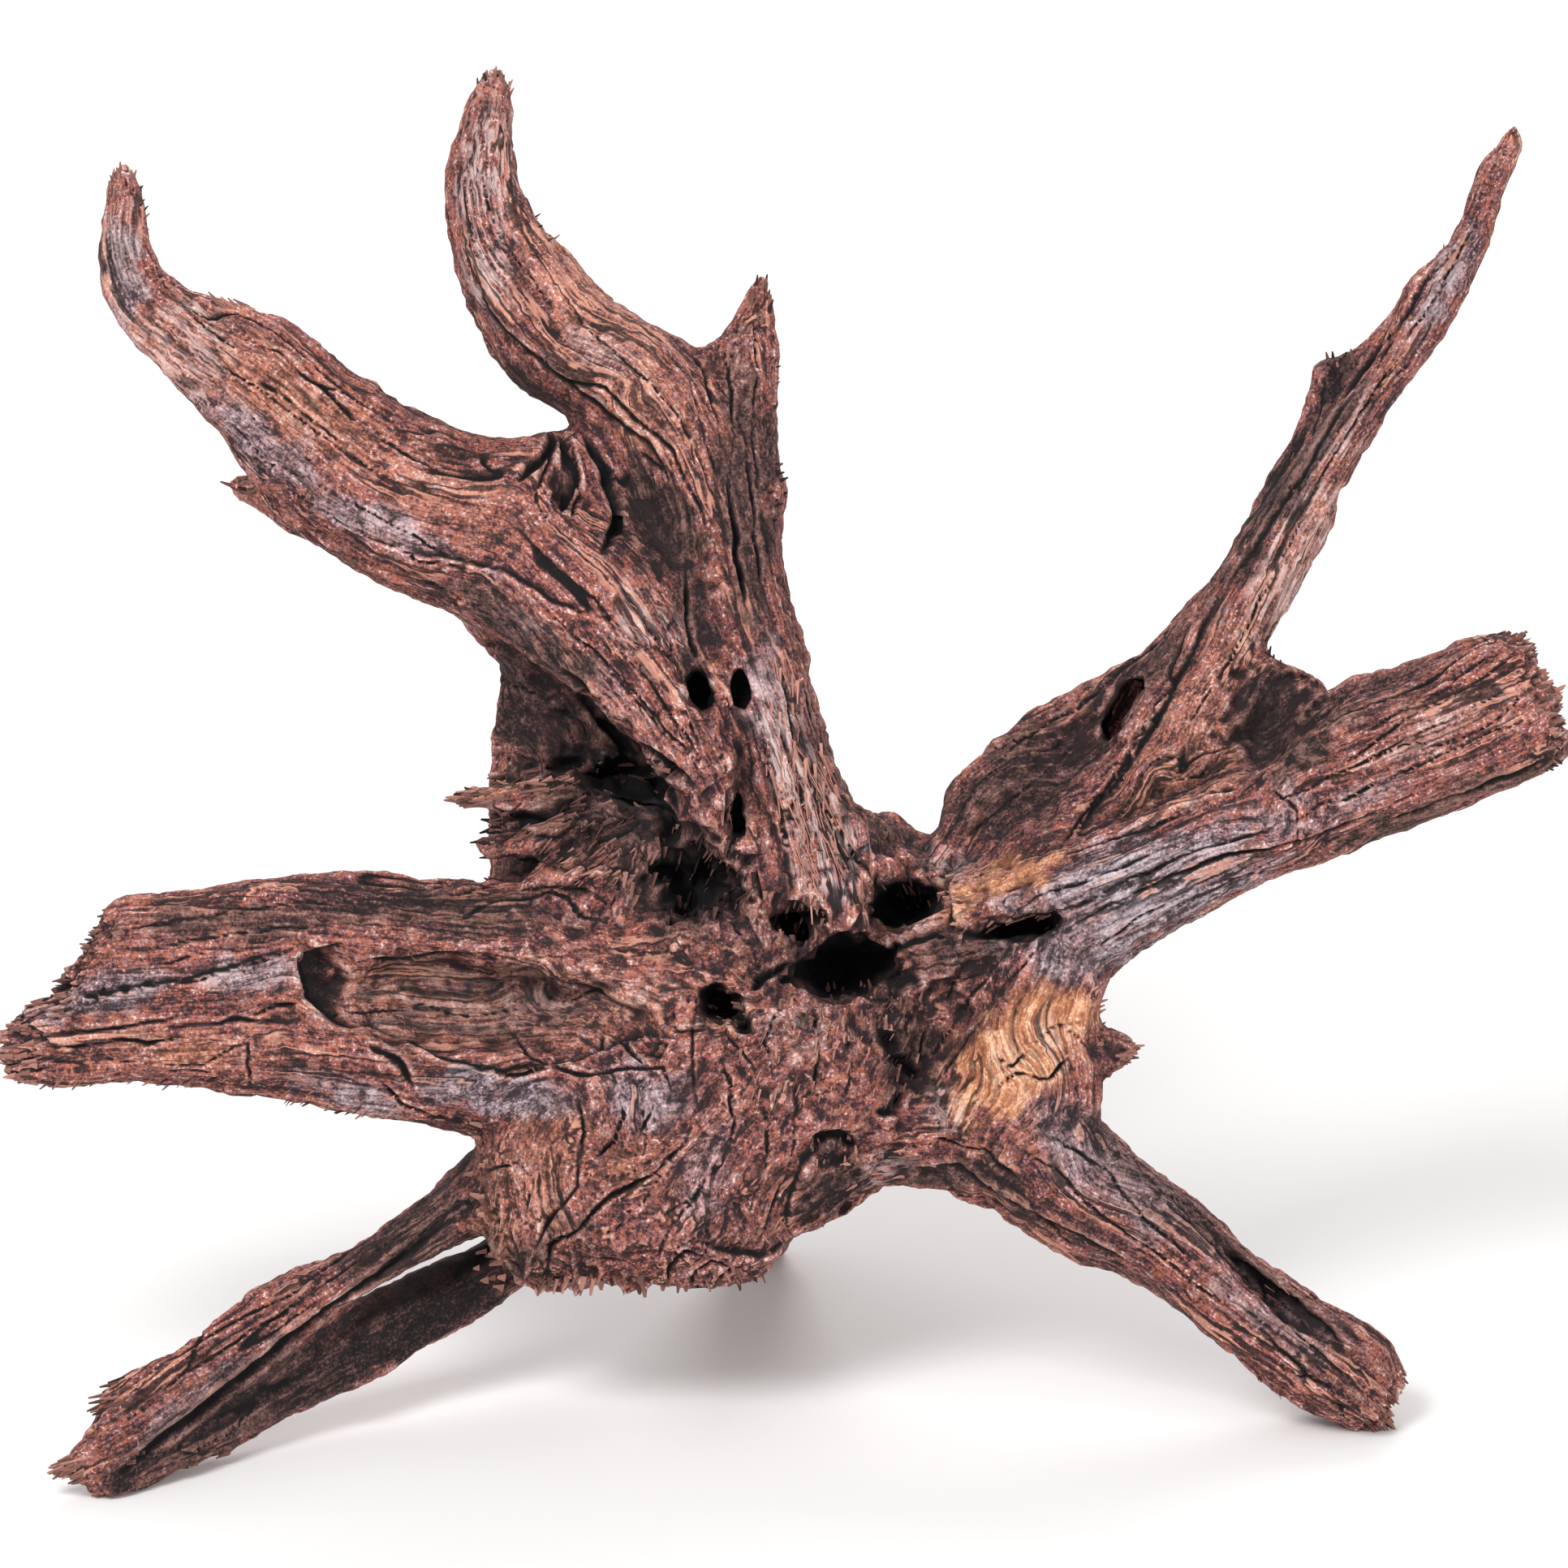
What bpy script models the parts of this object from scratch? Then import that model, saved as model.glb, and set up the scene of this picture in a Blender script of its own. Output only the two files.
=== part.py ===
"""A piece of root driftwood: one grown solid with two crown horns, a stub, a slab, two right limbs and legs.

The wood is drawn from the front as limbs, each a row of cross-sections from root to tip. A section is
drawn edge to edge in millimetres: x runs across, z up and y away from the viewer. The whole drawing is
then leaned back so that its two front legs and its heel stand on the ground. Everything is one node,
because the real thing is one piece of wood.
"""

import math
from typing import NamedTuple

import bmesh
import bpy
import numpy as np
from mathutils import Matrix, Vector

NODE = "driftwood"
SPAN = 0.480  # metres, across the widest pair of limbs
DRAWN_SPAN = 480.0  # the same span in the drawing's millimetres
SCALE = SPAN / DRAWN_SPAN
LEAN = math.radians(20.0)  # how far the drawing plane leans back when the wood stands

RING_POINTS = 36
RING_STEP = 4.0  # mm between rings along a limb

ROUGH_VOXEL = 2.2  # mm, fuses the limbs
FINE_VOXEL = 1.7  # mm, evens the skin after the hollows are cut
FUSE_SMOOTHING = 2
TRIANGLES = 11200
RIDGE_HEIGHT = 3.4  # mm
FLUTE_HEIGHT = 3.6
LUMP_HEIGHT = 1.1
RELIEF_SINK = 2.5  # mm that the skin goes in before the relief stands out from it
FOOT_CUT = 2.5  # mm taken off under the three feet, so that each has a flat spot
FOOT_ZONE = 45.0  # mm round each foot that is searched for its lowest point
FEET = ((-212, -52, -210), (184, -8, -192), (-6, 130, -147))  # two front legs and the heel

WOOD_COLOUR = (0.20, 0.075, 0.055, 1.0)
WOOD_ROUGHNESS = 0.85


class Section(NamedTuple):
    """One cross-section: edge a and edge b as seen from the front, its depth and its thickness, in mm."""

    ax: float
    az: float
    bx: float
    bz: float
    y: float
    thick: float
    slant: float = 0.0  # how much deeper edge b lies than edge a


class Limb(NamedTuple):
    """A limb's sections from root to tip, and the long flutes that its section carries."""

    sections: tuple
    flutes: int = 5
    flute_depth: float = 0.07  # share of the half width
    turn: float = 0.010  # radians a millimetre that the flutes wind round the limb
    squareness: float = 2.5  # exponent of the section outline: 2 is an ellipse, more is boxier
    splinters: int = 0  # pointed splinters that stick out of a broken tip
    splinter_length: float = 12.0


class Hollow(NamedTuple):
    """An ellipsoid that is cut out: centre, half sizes, and its turn in the drawing plane in degrees."""

    x: float
    y: float
    z: float
    half_x: float
    half_y: float
    half_z: float
    turn: float = 0.0


TRUNK = Limb(
    (
        Section(-24, -66, 43, -66, 6, 64),
        Section(-20, -36, 36, -34, 2, 58),
        Section(-18, -6, 23, -6, 0, 56),
        Section(-24, 16, 15, 16, 0, 54),
        Section(-34, 39, 9, 41, 0, 52),
        Section(-42, 66, 3, 66, 0, 48),
        Section(-40, 89, 1, 92, 1, 42),
        Section(-32, 111, -1, 112, 4, 34),
        Section(-25, 129, 0, 129, 6, 26),
        Section(-21, 140, -3, 141, 8, 19),
        Section(-14, 151, -3, 151, 8, 12),
        Section(-8, 160, -4, 160, 8, 7),
    ),
    flutes=6,
)
LEFT_HORN = Limb(
    (
        Section(-8, -24, -24, -22, -12, 24),
        Section(-12, -2, -32, -6, -16, 30),
        Section(-16, 24, -46, 10, -16, 34),
        Section(-26, 52, -66, 29, -13, 36),
        Section(-44, 84, -84, 45, -9, 38),
        Section(-64, 106, -101, 53, -7, 37),
        Section(-84, 108, -114, 59, -6, 34),
        Section(-108, 112, -132, 67, -8, 31),
        Section(-133, 127, -154, 82, -12, 27),
        Section(-157, 144, -175, 103, -14, 23),
        Section(-177, 149, -193, 127, -14, 19),
        Section(-189, 158, -206, 143, -12, 15),
        Section(-195, 167, -211, 162, -8, 12),
        Section(-197, 177, -210, 176, -4, 10),
        Section(-198, 185, -208, 185, 0, 9),
        Section(-200, 190, -206, 190, 0, 6),
    ),
    flutes=6,
)
LEFT_HORN_STRIP = Limb(
    (
        Section(-122, 74, -118, 62, -2, 16),
        Section(-141, 84, -135, 71, -3, 12),
        Section(-157, 92, -153, 80, -2, 9),
        Section(-168, 95, -166, 86, 0, 7),
        Section(-176, 93, -175, 90, 2, 5),
    ),
    flutes=3,
)
HORN_FLAP = Limb(
    (
        Section(-140, 132, -146, 120, -18, 10),
        Section(-156, 143, -162, 131, -19, 9),
        Section(-166, 149, -172, 140, -19, 7),
        Section(-176, 152, -178, 147, -19, 5),
    ),
    flutes=3,
    splinters=2,
    splinter_length=5.0,
)
MIDDLE_HORN = Limb(
    (
        Section(-30, 30, 2, 52, 2, 42),
        Section(-42, 62, -4, 88, 0, 42),
        Section(-52, 88, -14, 118, -2, 40),
        Section(-66, 108, -31, 139, 0, 35),
        Section(-80, 120, -50, 149, 6, 30),
        Section(-91, 134, -65, 165, 12, 27),
        Section(-100, 154, -75, 176, 18, 24),
        Section(-104, 174, -80, 190, 22, 21),
        Section(-103, 193, -82, 201, 24, 18),
        Section(-99, 208, -82, 211, 25, 15),
        Section(-96, 218, -82, 218, 25, 12),
        Section(-94, 223, -86, 223, 25, 7),
    ),
    squareness=1.7,
    splinters=3,
    splinter_length=5.0,
)
BUTTRESS = Limb(
    (
        Section(-101, 57, -66, 51, 12, 22),
        Section(-87, 36, -42, 22, 20, 26),
        Section(-85, 14, -30, 2, 24, 28),
        Section(-90, 0, -24, -18, 22, 32),
        Section(-89, -18, -20, -34, 16, 40),
        Section(-90, -36, -20, -56, 8, 50),
    ),
    flutes=8,
)
FLAKES = (
    Limb(
        (
            Section(-52, 10, -52, -8, 4, 18),
            Section(-70, 6, -68, -11, -4, 13),
            Section(-86, 2, -83, -10, -11, 10),
            Section(-96, -1, -93, -8, -13, 7),
            Section(-104, -3, -103, -6, -14, 5),
        ),
        flutes=3,
    ),
    Limb(
        (
            Section(-40, -6, -42, -24, 0, 18),
            Section(-58, -8, -58, -24, -8, 13),
            Section(-74, -12, -72, -24, -12, 9),
            Section(-88, -15, -86, -22, -13, 6),
            Section(-96, -17, -95, -20, -12, 5),
        ),
        flutes=3,
    ),
    Limb(
        (
            Section(-28, -14, -34, -38, -8, 16),
            Section(-48, -20, -52, -36, -16, 11),
            Section(-66, -24, -68, -34, -20, 8),
            Section(-80, -26, -80, -31, -20, 5),
        ),
        flutes=3,
    ),
)
ROOT_BODY = Limb(
    (
        Section(-42, -14, 34, -9, 14, 50),
        Section(-62, -40, 60, -34, 11, 64),
        Section(-76, -62, 70, -58, 8, 72),
        Section(-86, -86, 70, -82, 3, 78),
        Section(-94, -106, 56, -102, -3, 74),
        Section(-95, -124, 30, -121, -8, 62),
        Section(-92, -139, 4, -138, -14, 46),
        Section(-81, -151, -8, -152, -19, 28),
        Section(-72, -155, -16, -155, -21, 16),
    ),
    flutes=7,
    flute_depth=0.05,
    splinters=7,
    splinter_length=7.0,
)
SLAB = Limb(
    (
        Section(-12, -34, -16, -128, 0, 58),
        Section(-51, -31, -56, -118, -6, 52),
        Section(-89, -30, -89, -109, -12, 44),
        Section(-116, -29, -119, -103, -18, 36),
        Section(-141, -29, -149, -97, -22, 32),
        Section(-168, -31, -180, -94, -25, 28),
        Section(-187, -34, -210, -93, -27, 24),
        Section(-200, -37, -231, -91, -28, 19),
        Section(-205, -42, -235, -87, -28, 12),
    ),
    flutes=7,
    splinters=9,
    splinter_length=7.0,
)
RIGHT_ARM = Limb(
    (
        Section(24, -28, 28, -83, 4, 52),
        Section(56, -27, 68, -74, -4, 46),
        Section(84, -18, 101, -58, -10, 42),
        Section(111, -8, 129, -42, -14, 38),
        Section(141, 6, 159, -28, -18, 37),
        Section(168, 25, 187, -16, -22, 38),
        Section(195, 37, 212, -7, -26, 38),
        Section(217, 47, 232, 1, -28, 36),
        Section(227, 48, 241, 8, -29, 30),
    ),
    flutes=6,
    splinters=9,
    splinter_length=8.0,
)
RIGHT_HORN = Limb(
    (
        Section(41, -38, 66, -51, 4, 40),
        Section(66, -18, 91, -28, 6, 32),
        Section(94, 6, 121, -6, 10, 26),
        Section(116, 34, 142, 16, 16, 24),
        Section(129, 54, 154, 48, 22, 22),
        Section(142, 76, 166, 73, 28, 20),
        Section(159, 100, 178, 100, 33, 18),
        Section(173, 118, 189, 118, 38, 16),
        Section(185, 136, 203, 136, 42, 15),
        Section(196, 155, 214, 153, 46, 14),
        Section(208, 170, 221, 168, 50, 12),
        Section(215, 187, 226, 185, 53, 10),
        Section(221, 197, 230, 197, 55, 8),
        Section(225, 204, 231, 204, 56, 6),
    ),
)
HORN_FLANGE = Limb(
    (
        Section(116, 44, 132, 40, 30, 10),
        Section(134, 67, 150, 64, 34, 9),
        Section(147, 88, 163, 87, 38, 9),
        Section(158, 106, 174, 106, 42, 8),
        Section(166, 126, 184, 123, 44, 8),
        Section(177, 136, 194, 134, 46, 7),
        Section(196, 153, 204, 150, 48, 5),
    ),
    flutes=3,
)
SAIL = Limb(
    (
        Section(41, -22, 54, -36, 8, 26),
        Section(55, 5, 76, -24, 14, 18),
        Section(78, 24, 101, -4, 18, 15),
        Section(102, 37, 119, 19, 22, 13),
        Section(122, 51, 134, 42, 26, 12),
    ),
    flutes=4,
)
FORK_WEB = Limb(
    (
        Section(102, 22, 112, -24, 6, 22, -14),
        Section(124, 40, 128, -12, 8, 20, -18),
        Section(142, 44, 146, -6, 8, 18, -22),
        Section(153, 36, 160, 0, 4, 17, -26),
        Section(168, 29, 178, 6, -4, 17, -22),
    ),
    flutes=4,
    flute_depth=0.03,
)
RIGHT_ROOT = Limb(
    (
        Section(53, -46, 101, -56, -8, 44),
        Section(51, -68, 95, -70, -12, 40),
        Section(46, -86, 96, -86, -12, 38),
        Section(38, -101, 96, -100, -12, 38),
        Section(36, -118, 92, -108, -12, 30),
    ),
)
ROOT_SPIKE = Limb(
    (
        Section(84, -70, 84, -97, -14, 16),
        Section(99, -76, 99, -90, -14, 11),
        Section(111, -80, 111, -85, -14, 6),
    ),
    flutes=3,
)
RIGHT_LEG = Limb(
    (
        Section(38, -91, 31, -123, 0, 50),
        Section(79, -94, 56, -126, -8, 44),
        Section(101, -107, 81, -142, -10, 38),
        Section(126, -128, 108, -154, -11, 34),
        Section(148, -148, 133, -169, -11, 31),
        Section(169, -161, 152, -185, -10, 30),
        Section(190, -175, 168, -196, -9, 27),
        Section(193, -184, 176, -200, -8, 22),
    ),
    splinters=6,
    splinter_length=6.0,
)
LEFT_LEG = Limb(
    (
        Section(-62, -96, -67, -128, 14, 34),
        Section(-89, -109, -87, -136, 4, 27),
        Section(-111, -126, -107, -147, -7, 22),
        Section(-135, -143, -128, -163, -18, 20),
        Section(-162, -159, -153, -182, -29, 19),
        Section(-184, -174, -176, -196, -39, 17),
        Section(-203, -189, -194, -208, -47, 15),
        Section(-216, -202, -208, -213, -53, 12),
        Section(-222, -207, -217, -212, -55, 9),
    ),
    splinters=4,
    splinter_length=7.0,
)
LEFT_LEG_SLIVER = Limb(
    (
        Section(-150, -155, -148, -168, -30, 12),
        Section(-172, -167, -169, -178, -36, 9),
        Section(-192, -178, -190, -185, -42, 7),
        Section(-209, -187, -208, -191, -46, 5),
    ),
    flutes=3,
)
LEFT_LEG_BACK = Limb(
    (
        Section(-51, -118, -51, -143, 26, 30),
        Section(-76, -134, -75, -152, 18, 24),
        Section(-101, -146, -95, -168, 9, 20),
        Section(-126, -161, -119, -182, -2, 18),
        Section(-151, -175, -144, -195, -15, 16),
        Section(-175, -190, -167, -208, -29, 14),
        Section(-194, -203, -189, -216, -43, 12),
        Section(-209, -211, -204, -219, -53, 9),
        Section(-214, -214, -212, -218, -55, 6),
    ),
)
HEEL = Limb(
    (
        Section(-30, -70, 30, -70, 25, 50),
        Section(-28, -95, 22, -95, 52, 44),
        Section(-24, -115, 14, -115, 78, 36),
        Section(-20, -131, 8, -131, 102, 28),
        Section(-16, -142, 4, -142, 122, 20),
        Section(-12, -149, 0, -149, 132, 10),
    ),
)
LIMBS = (
    TRUNK,
    LEFT_HORN,
    LEFT_HORN_STRIP,
    HORN_FLAP,
    MIDDLE_HORN,
    BUTTRESS,
    *FLAKES,
    ROOT_BODY,
    SLAB,
    RIGHT_ARM,
    RIGHT_HORN,
    HORN_FLANGE,
    SAIL,
    FORK_WEB,
    RIGHT_ROOT,
    ROOT_SPIKE,
    RIGHT_LEG,
    LEFT_LEG,
    LEFT_LEG_SLIVER,
    LEFT_LEG_BACK,
    HEEL,
)
HOLLOWS = (
    Hollow(-52, -16, 0, 19, 22, 7, 32),  # the deep recess under the left horn's ridge
    Hollow(-27, -26, -31, 14, 22, 11, 12),
    Hollow(-46, -24, -14, 12, 18, 4, 8),
    Hollow(37, -20, -37, 13, 32, 9, -15),  # the upper of the two holes in the middle
    Hollow(20, -30, -57, 20, 34, 10.5, -8),  # the lower of the two
    Hollow(2, -26, -44, 7, 22, 6, 30),
    Hollow(-20, -38, -67, 7, 24, 6.5),
    Hollow(72, -30, -44, 17, 18, 4, -8),
    Hollow(54, -40, -68, 12, 23, 32, 33),  # the hollow fan between the body and the right root
    Hollow(40, -42, -92, 8, 22, 22, 12),
    Hollow(-28, -34, 52, 2.4, 14, 26, 4),  # the crease between the left horn and the trunk
    Hollow(-26, -30, 28, 3.2, 20, 8, -6),
    Hollow(-13, -30, 29, 2.8, 18, 7, -4),
    Hollow(-15, -32, -9, 3.2, 20, 12, 6),
    Hollow(-14, -28, 78, 2.2, 10, 24, 4),
    Hollow(-58, -26, 92, 2.2, 12, 14, 30),  # folds that fan out of the crotch
    Hollow(-68, -24, 92, 2.2, 12, 12, 4),
    Hollow(-50, -26, 78, 2.4, 12, 12, -22),
    Hollow(105, 6, 24, 3.4, 17, 12, 36),  # the slot in the sail
    Hollow(148, -22, 18, 9, 22, 14, 8),  # the smooth recess in the right fork
    Hollow(-86, -54, -68, 63, 37, 20, 7),  # the slab's long scoop
    Hollow(-137, -46, -60, 13, 17, 12, -12),
    Hollow(-96, -44, -104, 26, 10, 2.4, 12),
    Hollow(152, -24, -157, 27, 12, 2.6, 38),  # the right leg's slit
    Hollow(14, -48, -111, 7, 14, 4),
)


def smooth_track(knots, values, at):
    """A cubic through every value, with slopes from the neighbours, read at the places asked for."""
    slopes = np.gradient(values, knots, axis=0)
    i = np.clip(np.searchsorted(knots, at, side="right") - 1, 0, len(knots) - 2)
    length = (knots[i + 1] - knots[i])[:, None]
    t = (at - knots[i])[:, None] / length
    rise = values[i + 1] - values[i]
    low = slopes[i] * length - rise
    high = rise - slopes[i + 1] * length
    return values[i] + t * rise + t * (1 - t) * ((1 - t) * low + t * high)


def dense_sections(limb):
    """(distance along the limb, section values) at every ring."""
    drawn = np.array(limb.sections, float)
    centres = np.column_stack(((drawn[:, 0] + drawn[:, 2]) / 2, drawn[:, 4], (drawn[:, 1] + drawn[:, 3]) / 2))
    steps = np.linalg.norm(np.diff(centres, axis=0), axis=1)
    knots = np.concatenate(([0.0], np.cumsum(steps)))
    rings = max(6, int(knots[-1] / RING_STEP))
    along = np.linspace(0.0, knots[-1], rings)
    return along, smooth_track(knots, drawn, along)


def ring_frames(limb):
    """(along, centre, half-width vector, half-thickness vector) of every ring of a limb."""
    along, dense = dense_sections(limb)
    ax, az, bx, bz, y, thick, slant = dense.T
    edge_a = np.column_stack((ax, y - slant / 2, az))
    edge_b = np.column_stack((bx, y + slant / 2, bz))
    centre = (edge_a + edge_b) / 2
    half_width = (edge_b - edge_a) / 2
    tangent = np.gradient(centre, along, axis=0)
    normal = np.cross(tangent, half_width)
    normal /= np.linalg.norm(normal, axis=1)[:, None]
    normal *= -np.sign(normal[:, 1:2])
    return along, centre, half_width, normal * (np.maximum(thick, 1.0) / 2)[:, None]


def loft(limb, seed):
    """(points, faces) of one closed limb."""
    along, centre, half_width, half_thick = ring_frames(limb)
    angle = np.linspace(0.0, math.tau, RING_POINTS, endpoint=False)
    across = np.sign(np.cos(angle)) * np.abs(np.cos(angle)) ** (2 / limb.squareness)
    through = np.sign(np.sin(angle)) * np.abs(np.sin(angle)) ** (2 / limb.squareness)
    phase = angle[None, :] * limb.flutes + along[:, None] * limb.turn * limb.flutes + seed
    wave = np.sin(phase) + 0.5 * np.sin(2.0 * phase + seed)
    swell = 1.0 + limb.flute_depth * wave * 0.6
    rings = (
        centre[:, None, :]
        + half_width[:, None, :] * (across * swell)[:, :, None]
        + half_thick[:, None, :] * (through * swell)[:, :, None]
    )
    points = np.concatenate((rings.reshape(-1, 3), centre[:1], centre[-1:]))
    faces = []
    last = (len(along) - 1) * RING_POINTS
    root, tip = len(points) - 2, len(points) - 1
    for k in range(RING_POINTS):
        n = (k + 1) % RING_POINTS
        for r in range(0, last, RING_POINTS):
            faces.append((r + k, r + n, r + RING_POINTS + n, r + RING_POINTS + k))
        faces.append((root, n, k))
        faces.append((tip, last + k, last + n))
    return points, faces


def add_splinters(wood, limb, rng):
    """Sets pointed splinters side by side in a broken tip, each along the grain and of its own length."""
    along, centre, half_width, half_thick = ring_frames(limb)
    forward = centre[-1] - centre[-3]
    forward /= np.linalg.norm(forward)
    width = np.linalg.norm(half_width[-1])
    thick = np.linalg.norm(half_thick[-1])
    for k in range(limb.splinters):
        share = (2 * k + 1) / limb.splinters - 1 + rng.uniform(-0.1, 0.1)
        depth = rng.uniform(-0.6, 0.6) * math.sqrt(max(0.0, 1 - share**2))
        out = limb.splinter_length * rng.uniform(0.2, 1.0)
        back = 2.2 * limb.splinter_length
        lean = rng.uniform(-0.12, 0.12) * half_width[-1] / width
        middle = centre[-1] + share * 0.9 * half_width[-1] + depth * half_thick[-1]
        axis = Vector(forward + lean).normalized()
        radius = max(2.2, 1.2 * width / limb.splinters)
        turn = axis.to_track_quat("Z", "Y").to_matrix().to_4x4()
        place = Matrix.Translation(Vector(middle) + axis * (out - back) / 2)
        bmesh.ops.create_cone(
            wood,
            cap_ends=True,
            segments=8,
            radius1=max(radius, 0.5 * thick),
            radius2=1.1,
            depth=out + back,
            matrix=place @ turn,
        )


def joined_limbs():
    """One mesh object that holds every limb as its own closed shell, still overlapping."""
    rng = np.random.default_rng(11)
    wood = bmesh.new()
    for seed, limb in enumerate(LIMBS):
        points, faces = loft(limb, seed)
        shell = [wood.verts.new(p) for p in points]
        made = [wood.faces.new([shell[i] for i in face]) for face in faces]
        bmesh.ops.recalc_face_normals(wood, faces=made)
        add_splinters(wood, limb, rng)
    mesh = bpy.data.meshes.new(NODE)
    wood.to_mesh(mesh)
    wood.free()
    return new_object(NODE, mesh)


def new_object(name, mesh, collection=None):
    """An object for a mesh, linked to the collection."""
    made = bpy.data.objects.new(name, mesh)
    (collection or bpy.context.scene.collection).objects.link(made)
    return made


def bake(obj):
    """Replaces an object's mesh by its evaluated one and drops its modifiers."""
    bpy.context.view_layer.update()
    graph = bpy.context.evaluated_depsgraph_get()
    mesh = bpy.data.meshes.new_from_object(obj.evaluated_get(graph))
    obj.modifiers.clear()
    obj.data = mesh


def fuse(obj, voxel):
    """One skin round everything that overlaps."""
    remesh = obj.modifiers.new("fuse", "REMESH")
    remesh.mode = "VOXEL"
    remesh.voxel_size = voxel
    bake(obj)


def smooth(obj, repeats):
    """Softens the creases where limbs meet."""
    soften = obj.modifiers.new("soften", "SMOOTH")
    soften.factor = 0.5
    soften.iterations = repeats
    bake(obj)


def cut_hollows(obj):
    """Cuts each hollow out of the fused wood."""
    cutters = bpy.data.collections.new("cutters")
    bpy.context.scene.collection.children.link(cutters)
    for i, hollow in enumerate(HOLLOWS):
        ball = bmesh.new()
        bmesh.ops.create_uvsphere(ball, u_segments=24, v_segments=14, radius=1.0)
        mesh = bpy.data.meshes.new(f"hollow_{i}")
        ball.to_mesh(mesh)
        ball.free()
        size = Matrix.Diagonal((hollow.half_x, hollow.half_y, hollow.half_z, 1.0))
        turn = Matrix.Rotation(math.radians(hollow.turn), 4, "Y")
        place = Matrix.Translation((hollow.x, hollow.y, hollow.z))
        mesh.transform(place @ turn @ size)
        cutter = new_object(mesh.name, mesh, cutters)
        cutter.hide_render = True
        cutter.display_type = "WIRE"
        cut = obj.modifiers.new("cut", "BOOLEAN")
        cut.operation = "DIFFERENCE"
        cut.solver = "EXACT"
        cut.object = cutter
    bake(obj)
    for cutter in list(cutters.objects):
        bpy.data.objects.remove(cutter)
    bpy.data.collections.remove(cutters)


def lattice_noise(points, seed):
    """Smooth random numbers from -1 to 1 at each point, with features about one unit wide."""
    size = 32
    table = np.random.default_rng(seed).uniform(-1.0, 1.0, (size, size, size))
    cell = np.floor(points).astype(int)
    t = points - cell
    t = t * t * (3 - 2 * t)
    total = np.zeros(len(points))
    for corner in range(8):
        step = np.array([corner & 1, corner >> 1 & 1, corner >> 2 & 1])
        weight = np.prod(np.where(step, t, 1 - t), axis=1)
        total += weight * table[tuple(((cell + step) % size).T)]
    return total


def limb_places(points, limb):
    """(share, places): how near each point is to the limb, and where it lies along and across it."""
    along, centre, half_width, half_thick = ring_frames(limb)
    width = np.linalg.norm(half_width, axis=1)
    thick = np.linalg.norm(half_thick, axis=1)
    share = np.full(len(points), np.inf)
    places = np.zeros((len(points), 3))
    for i in range(len(along)):
        offset = points - centre[i]
        u = offset @ half_width[i] / width[i]
        v = offset @ half_thick[i] / thick[i]
        lengthwise = (offset**2).sum(axis=1) - u**2 - v**2
        here = (u / width[i]) ** 2 + (v / thick[i]) ** 2 + lengthwise / RING_STEP**2 * 0.3
        nearer = here < share
        share[nearer] = here[nearer]
        places[nearer, 0] = along[i]
        places[nearer, 1] = u[nearer]
        places[nearer, 2] = v[nearer]
    return share, places


def relief_height(points):
    """How far the skin stands out at each point: ridges along every limb, blended where limbs meet."""
    found = [limb_places(points, limb) for limb in LIMBS]
    nearest = np.min([share for share, _ in found], axis=0)
    total = np.zeros(len(points))
    weights = np.zeros(len(points))
    for number, (share, places) in enumerate(found):
        weight = np.exp(-4.0 * (share - nearest))
        here = weight > 0.02
        ridges = np.abs(lattice_noise(places[here] / (70.0, 9.0, 9.0) + number * 3.7, 3))
        flutes = np.abs(lattice_noise(places[here] / (110.0, 19.0, 19.0) + number * 5.1, 4))
        total[here] += weight[here] * (RIDGE_HEIGHT * ridges + FLUTE_HEIGHT * flutes)
        weights[here] += weight[here]
    lumps = lattice_noise(points / 22.0, 5)
    return total / weights - RELIEF_SINK + LUMP_HEIGHT * lumps


def carve_relief(obj):
    """Raises the long ridges of the grain and the lumps of the weathered wood from the skin."""
    mesh = obj.data
    points = np.empty(len(mesh.vertices) * 3, np.float32)
    mesh.vertices.foreach_get("co", points)
    points = points.reshape(-1, 3).astype(float)
    normals = np.empty(len(mesh.vertices) * 3, np.float32)
    mesh.vertices.foreach_get("normal", normals)
    normals = normals.reshape(-1, 3).astype(float)
    moved = points + normals * relief_height(points)[:, None]
    mesh.vertices.foreach_set("co", moved.astype(np.float32).ravel())
    mesh.update()


def keep_one_shell(obj):
    """Keeps the largest connected shell: sealed voids are filled and loose scraps dropped."""
    wood = bmesh.new()
    wood.from_mesh(obj.data)
    unseen = set(wood.verts)
    shells = []
    while unseen:
        front = [unseen.pop()]
        shell = list(front)
        while front:
            vert = front.pop()
            for edge in vert.link_edges:
                other = edge.other_vert(vert)
                if other in unseen:
                    unseen.remove(other)
                    front.append(other)
                    shell.append(other)
        shells.append(shell)
    shells.sort(key=len)
    for shell in shells[:-1]:
        bmesh.ops.delete(wood, geom=shell, context="VERTS")
    wood.to_mesh(obj.data)
    wood.free()


def simplify(obj, triangles):
    """Collapses the fine skin to the number of triangles asked for."""
    count = sum(len(p.vertices) - 2 for p in obj.data.polygons)
    fewer = obj.modifiers.new("fewer", "DECIMATE")
    fewer.ratio = triangles / count
    fewer.use_collapse_triangulate = True
    bake(obj)


def mesh_points(mesh):
    """The mesh's points as an array."""
    points = np.empty(len(mesh.vertices) * 3, np.float32)
    mesh.vertices.foreach_get("co", points)
    return points.reshape(-1, 3).astype(float)


def lowest_feet(mesh, feet):
    """The lowest point of the wood near each foot."""
    points = mesh_points(mesh)
    found = []
    for foot in feet:
        near = points[np.linalg.norm(points - np.array(foot), axis=1) < FOOT_ZONE * SCALE]
        found.append(Vector(near[near[:, 2].argmin()]))
    return found


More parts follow.
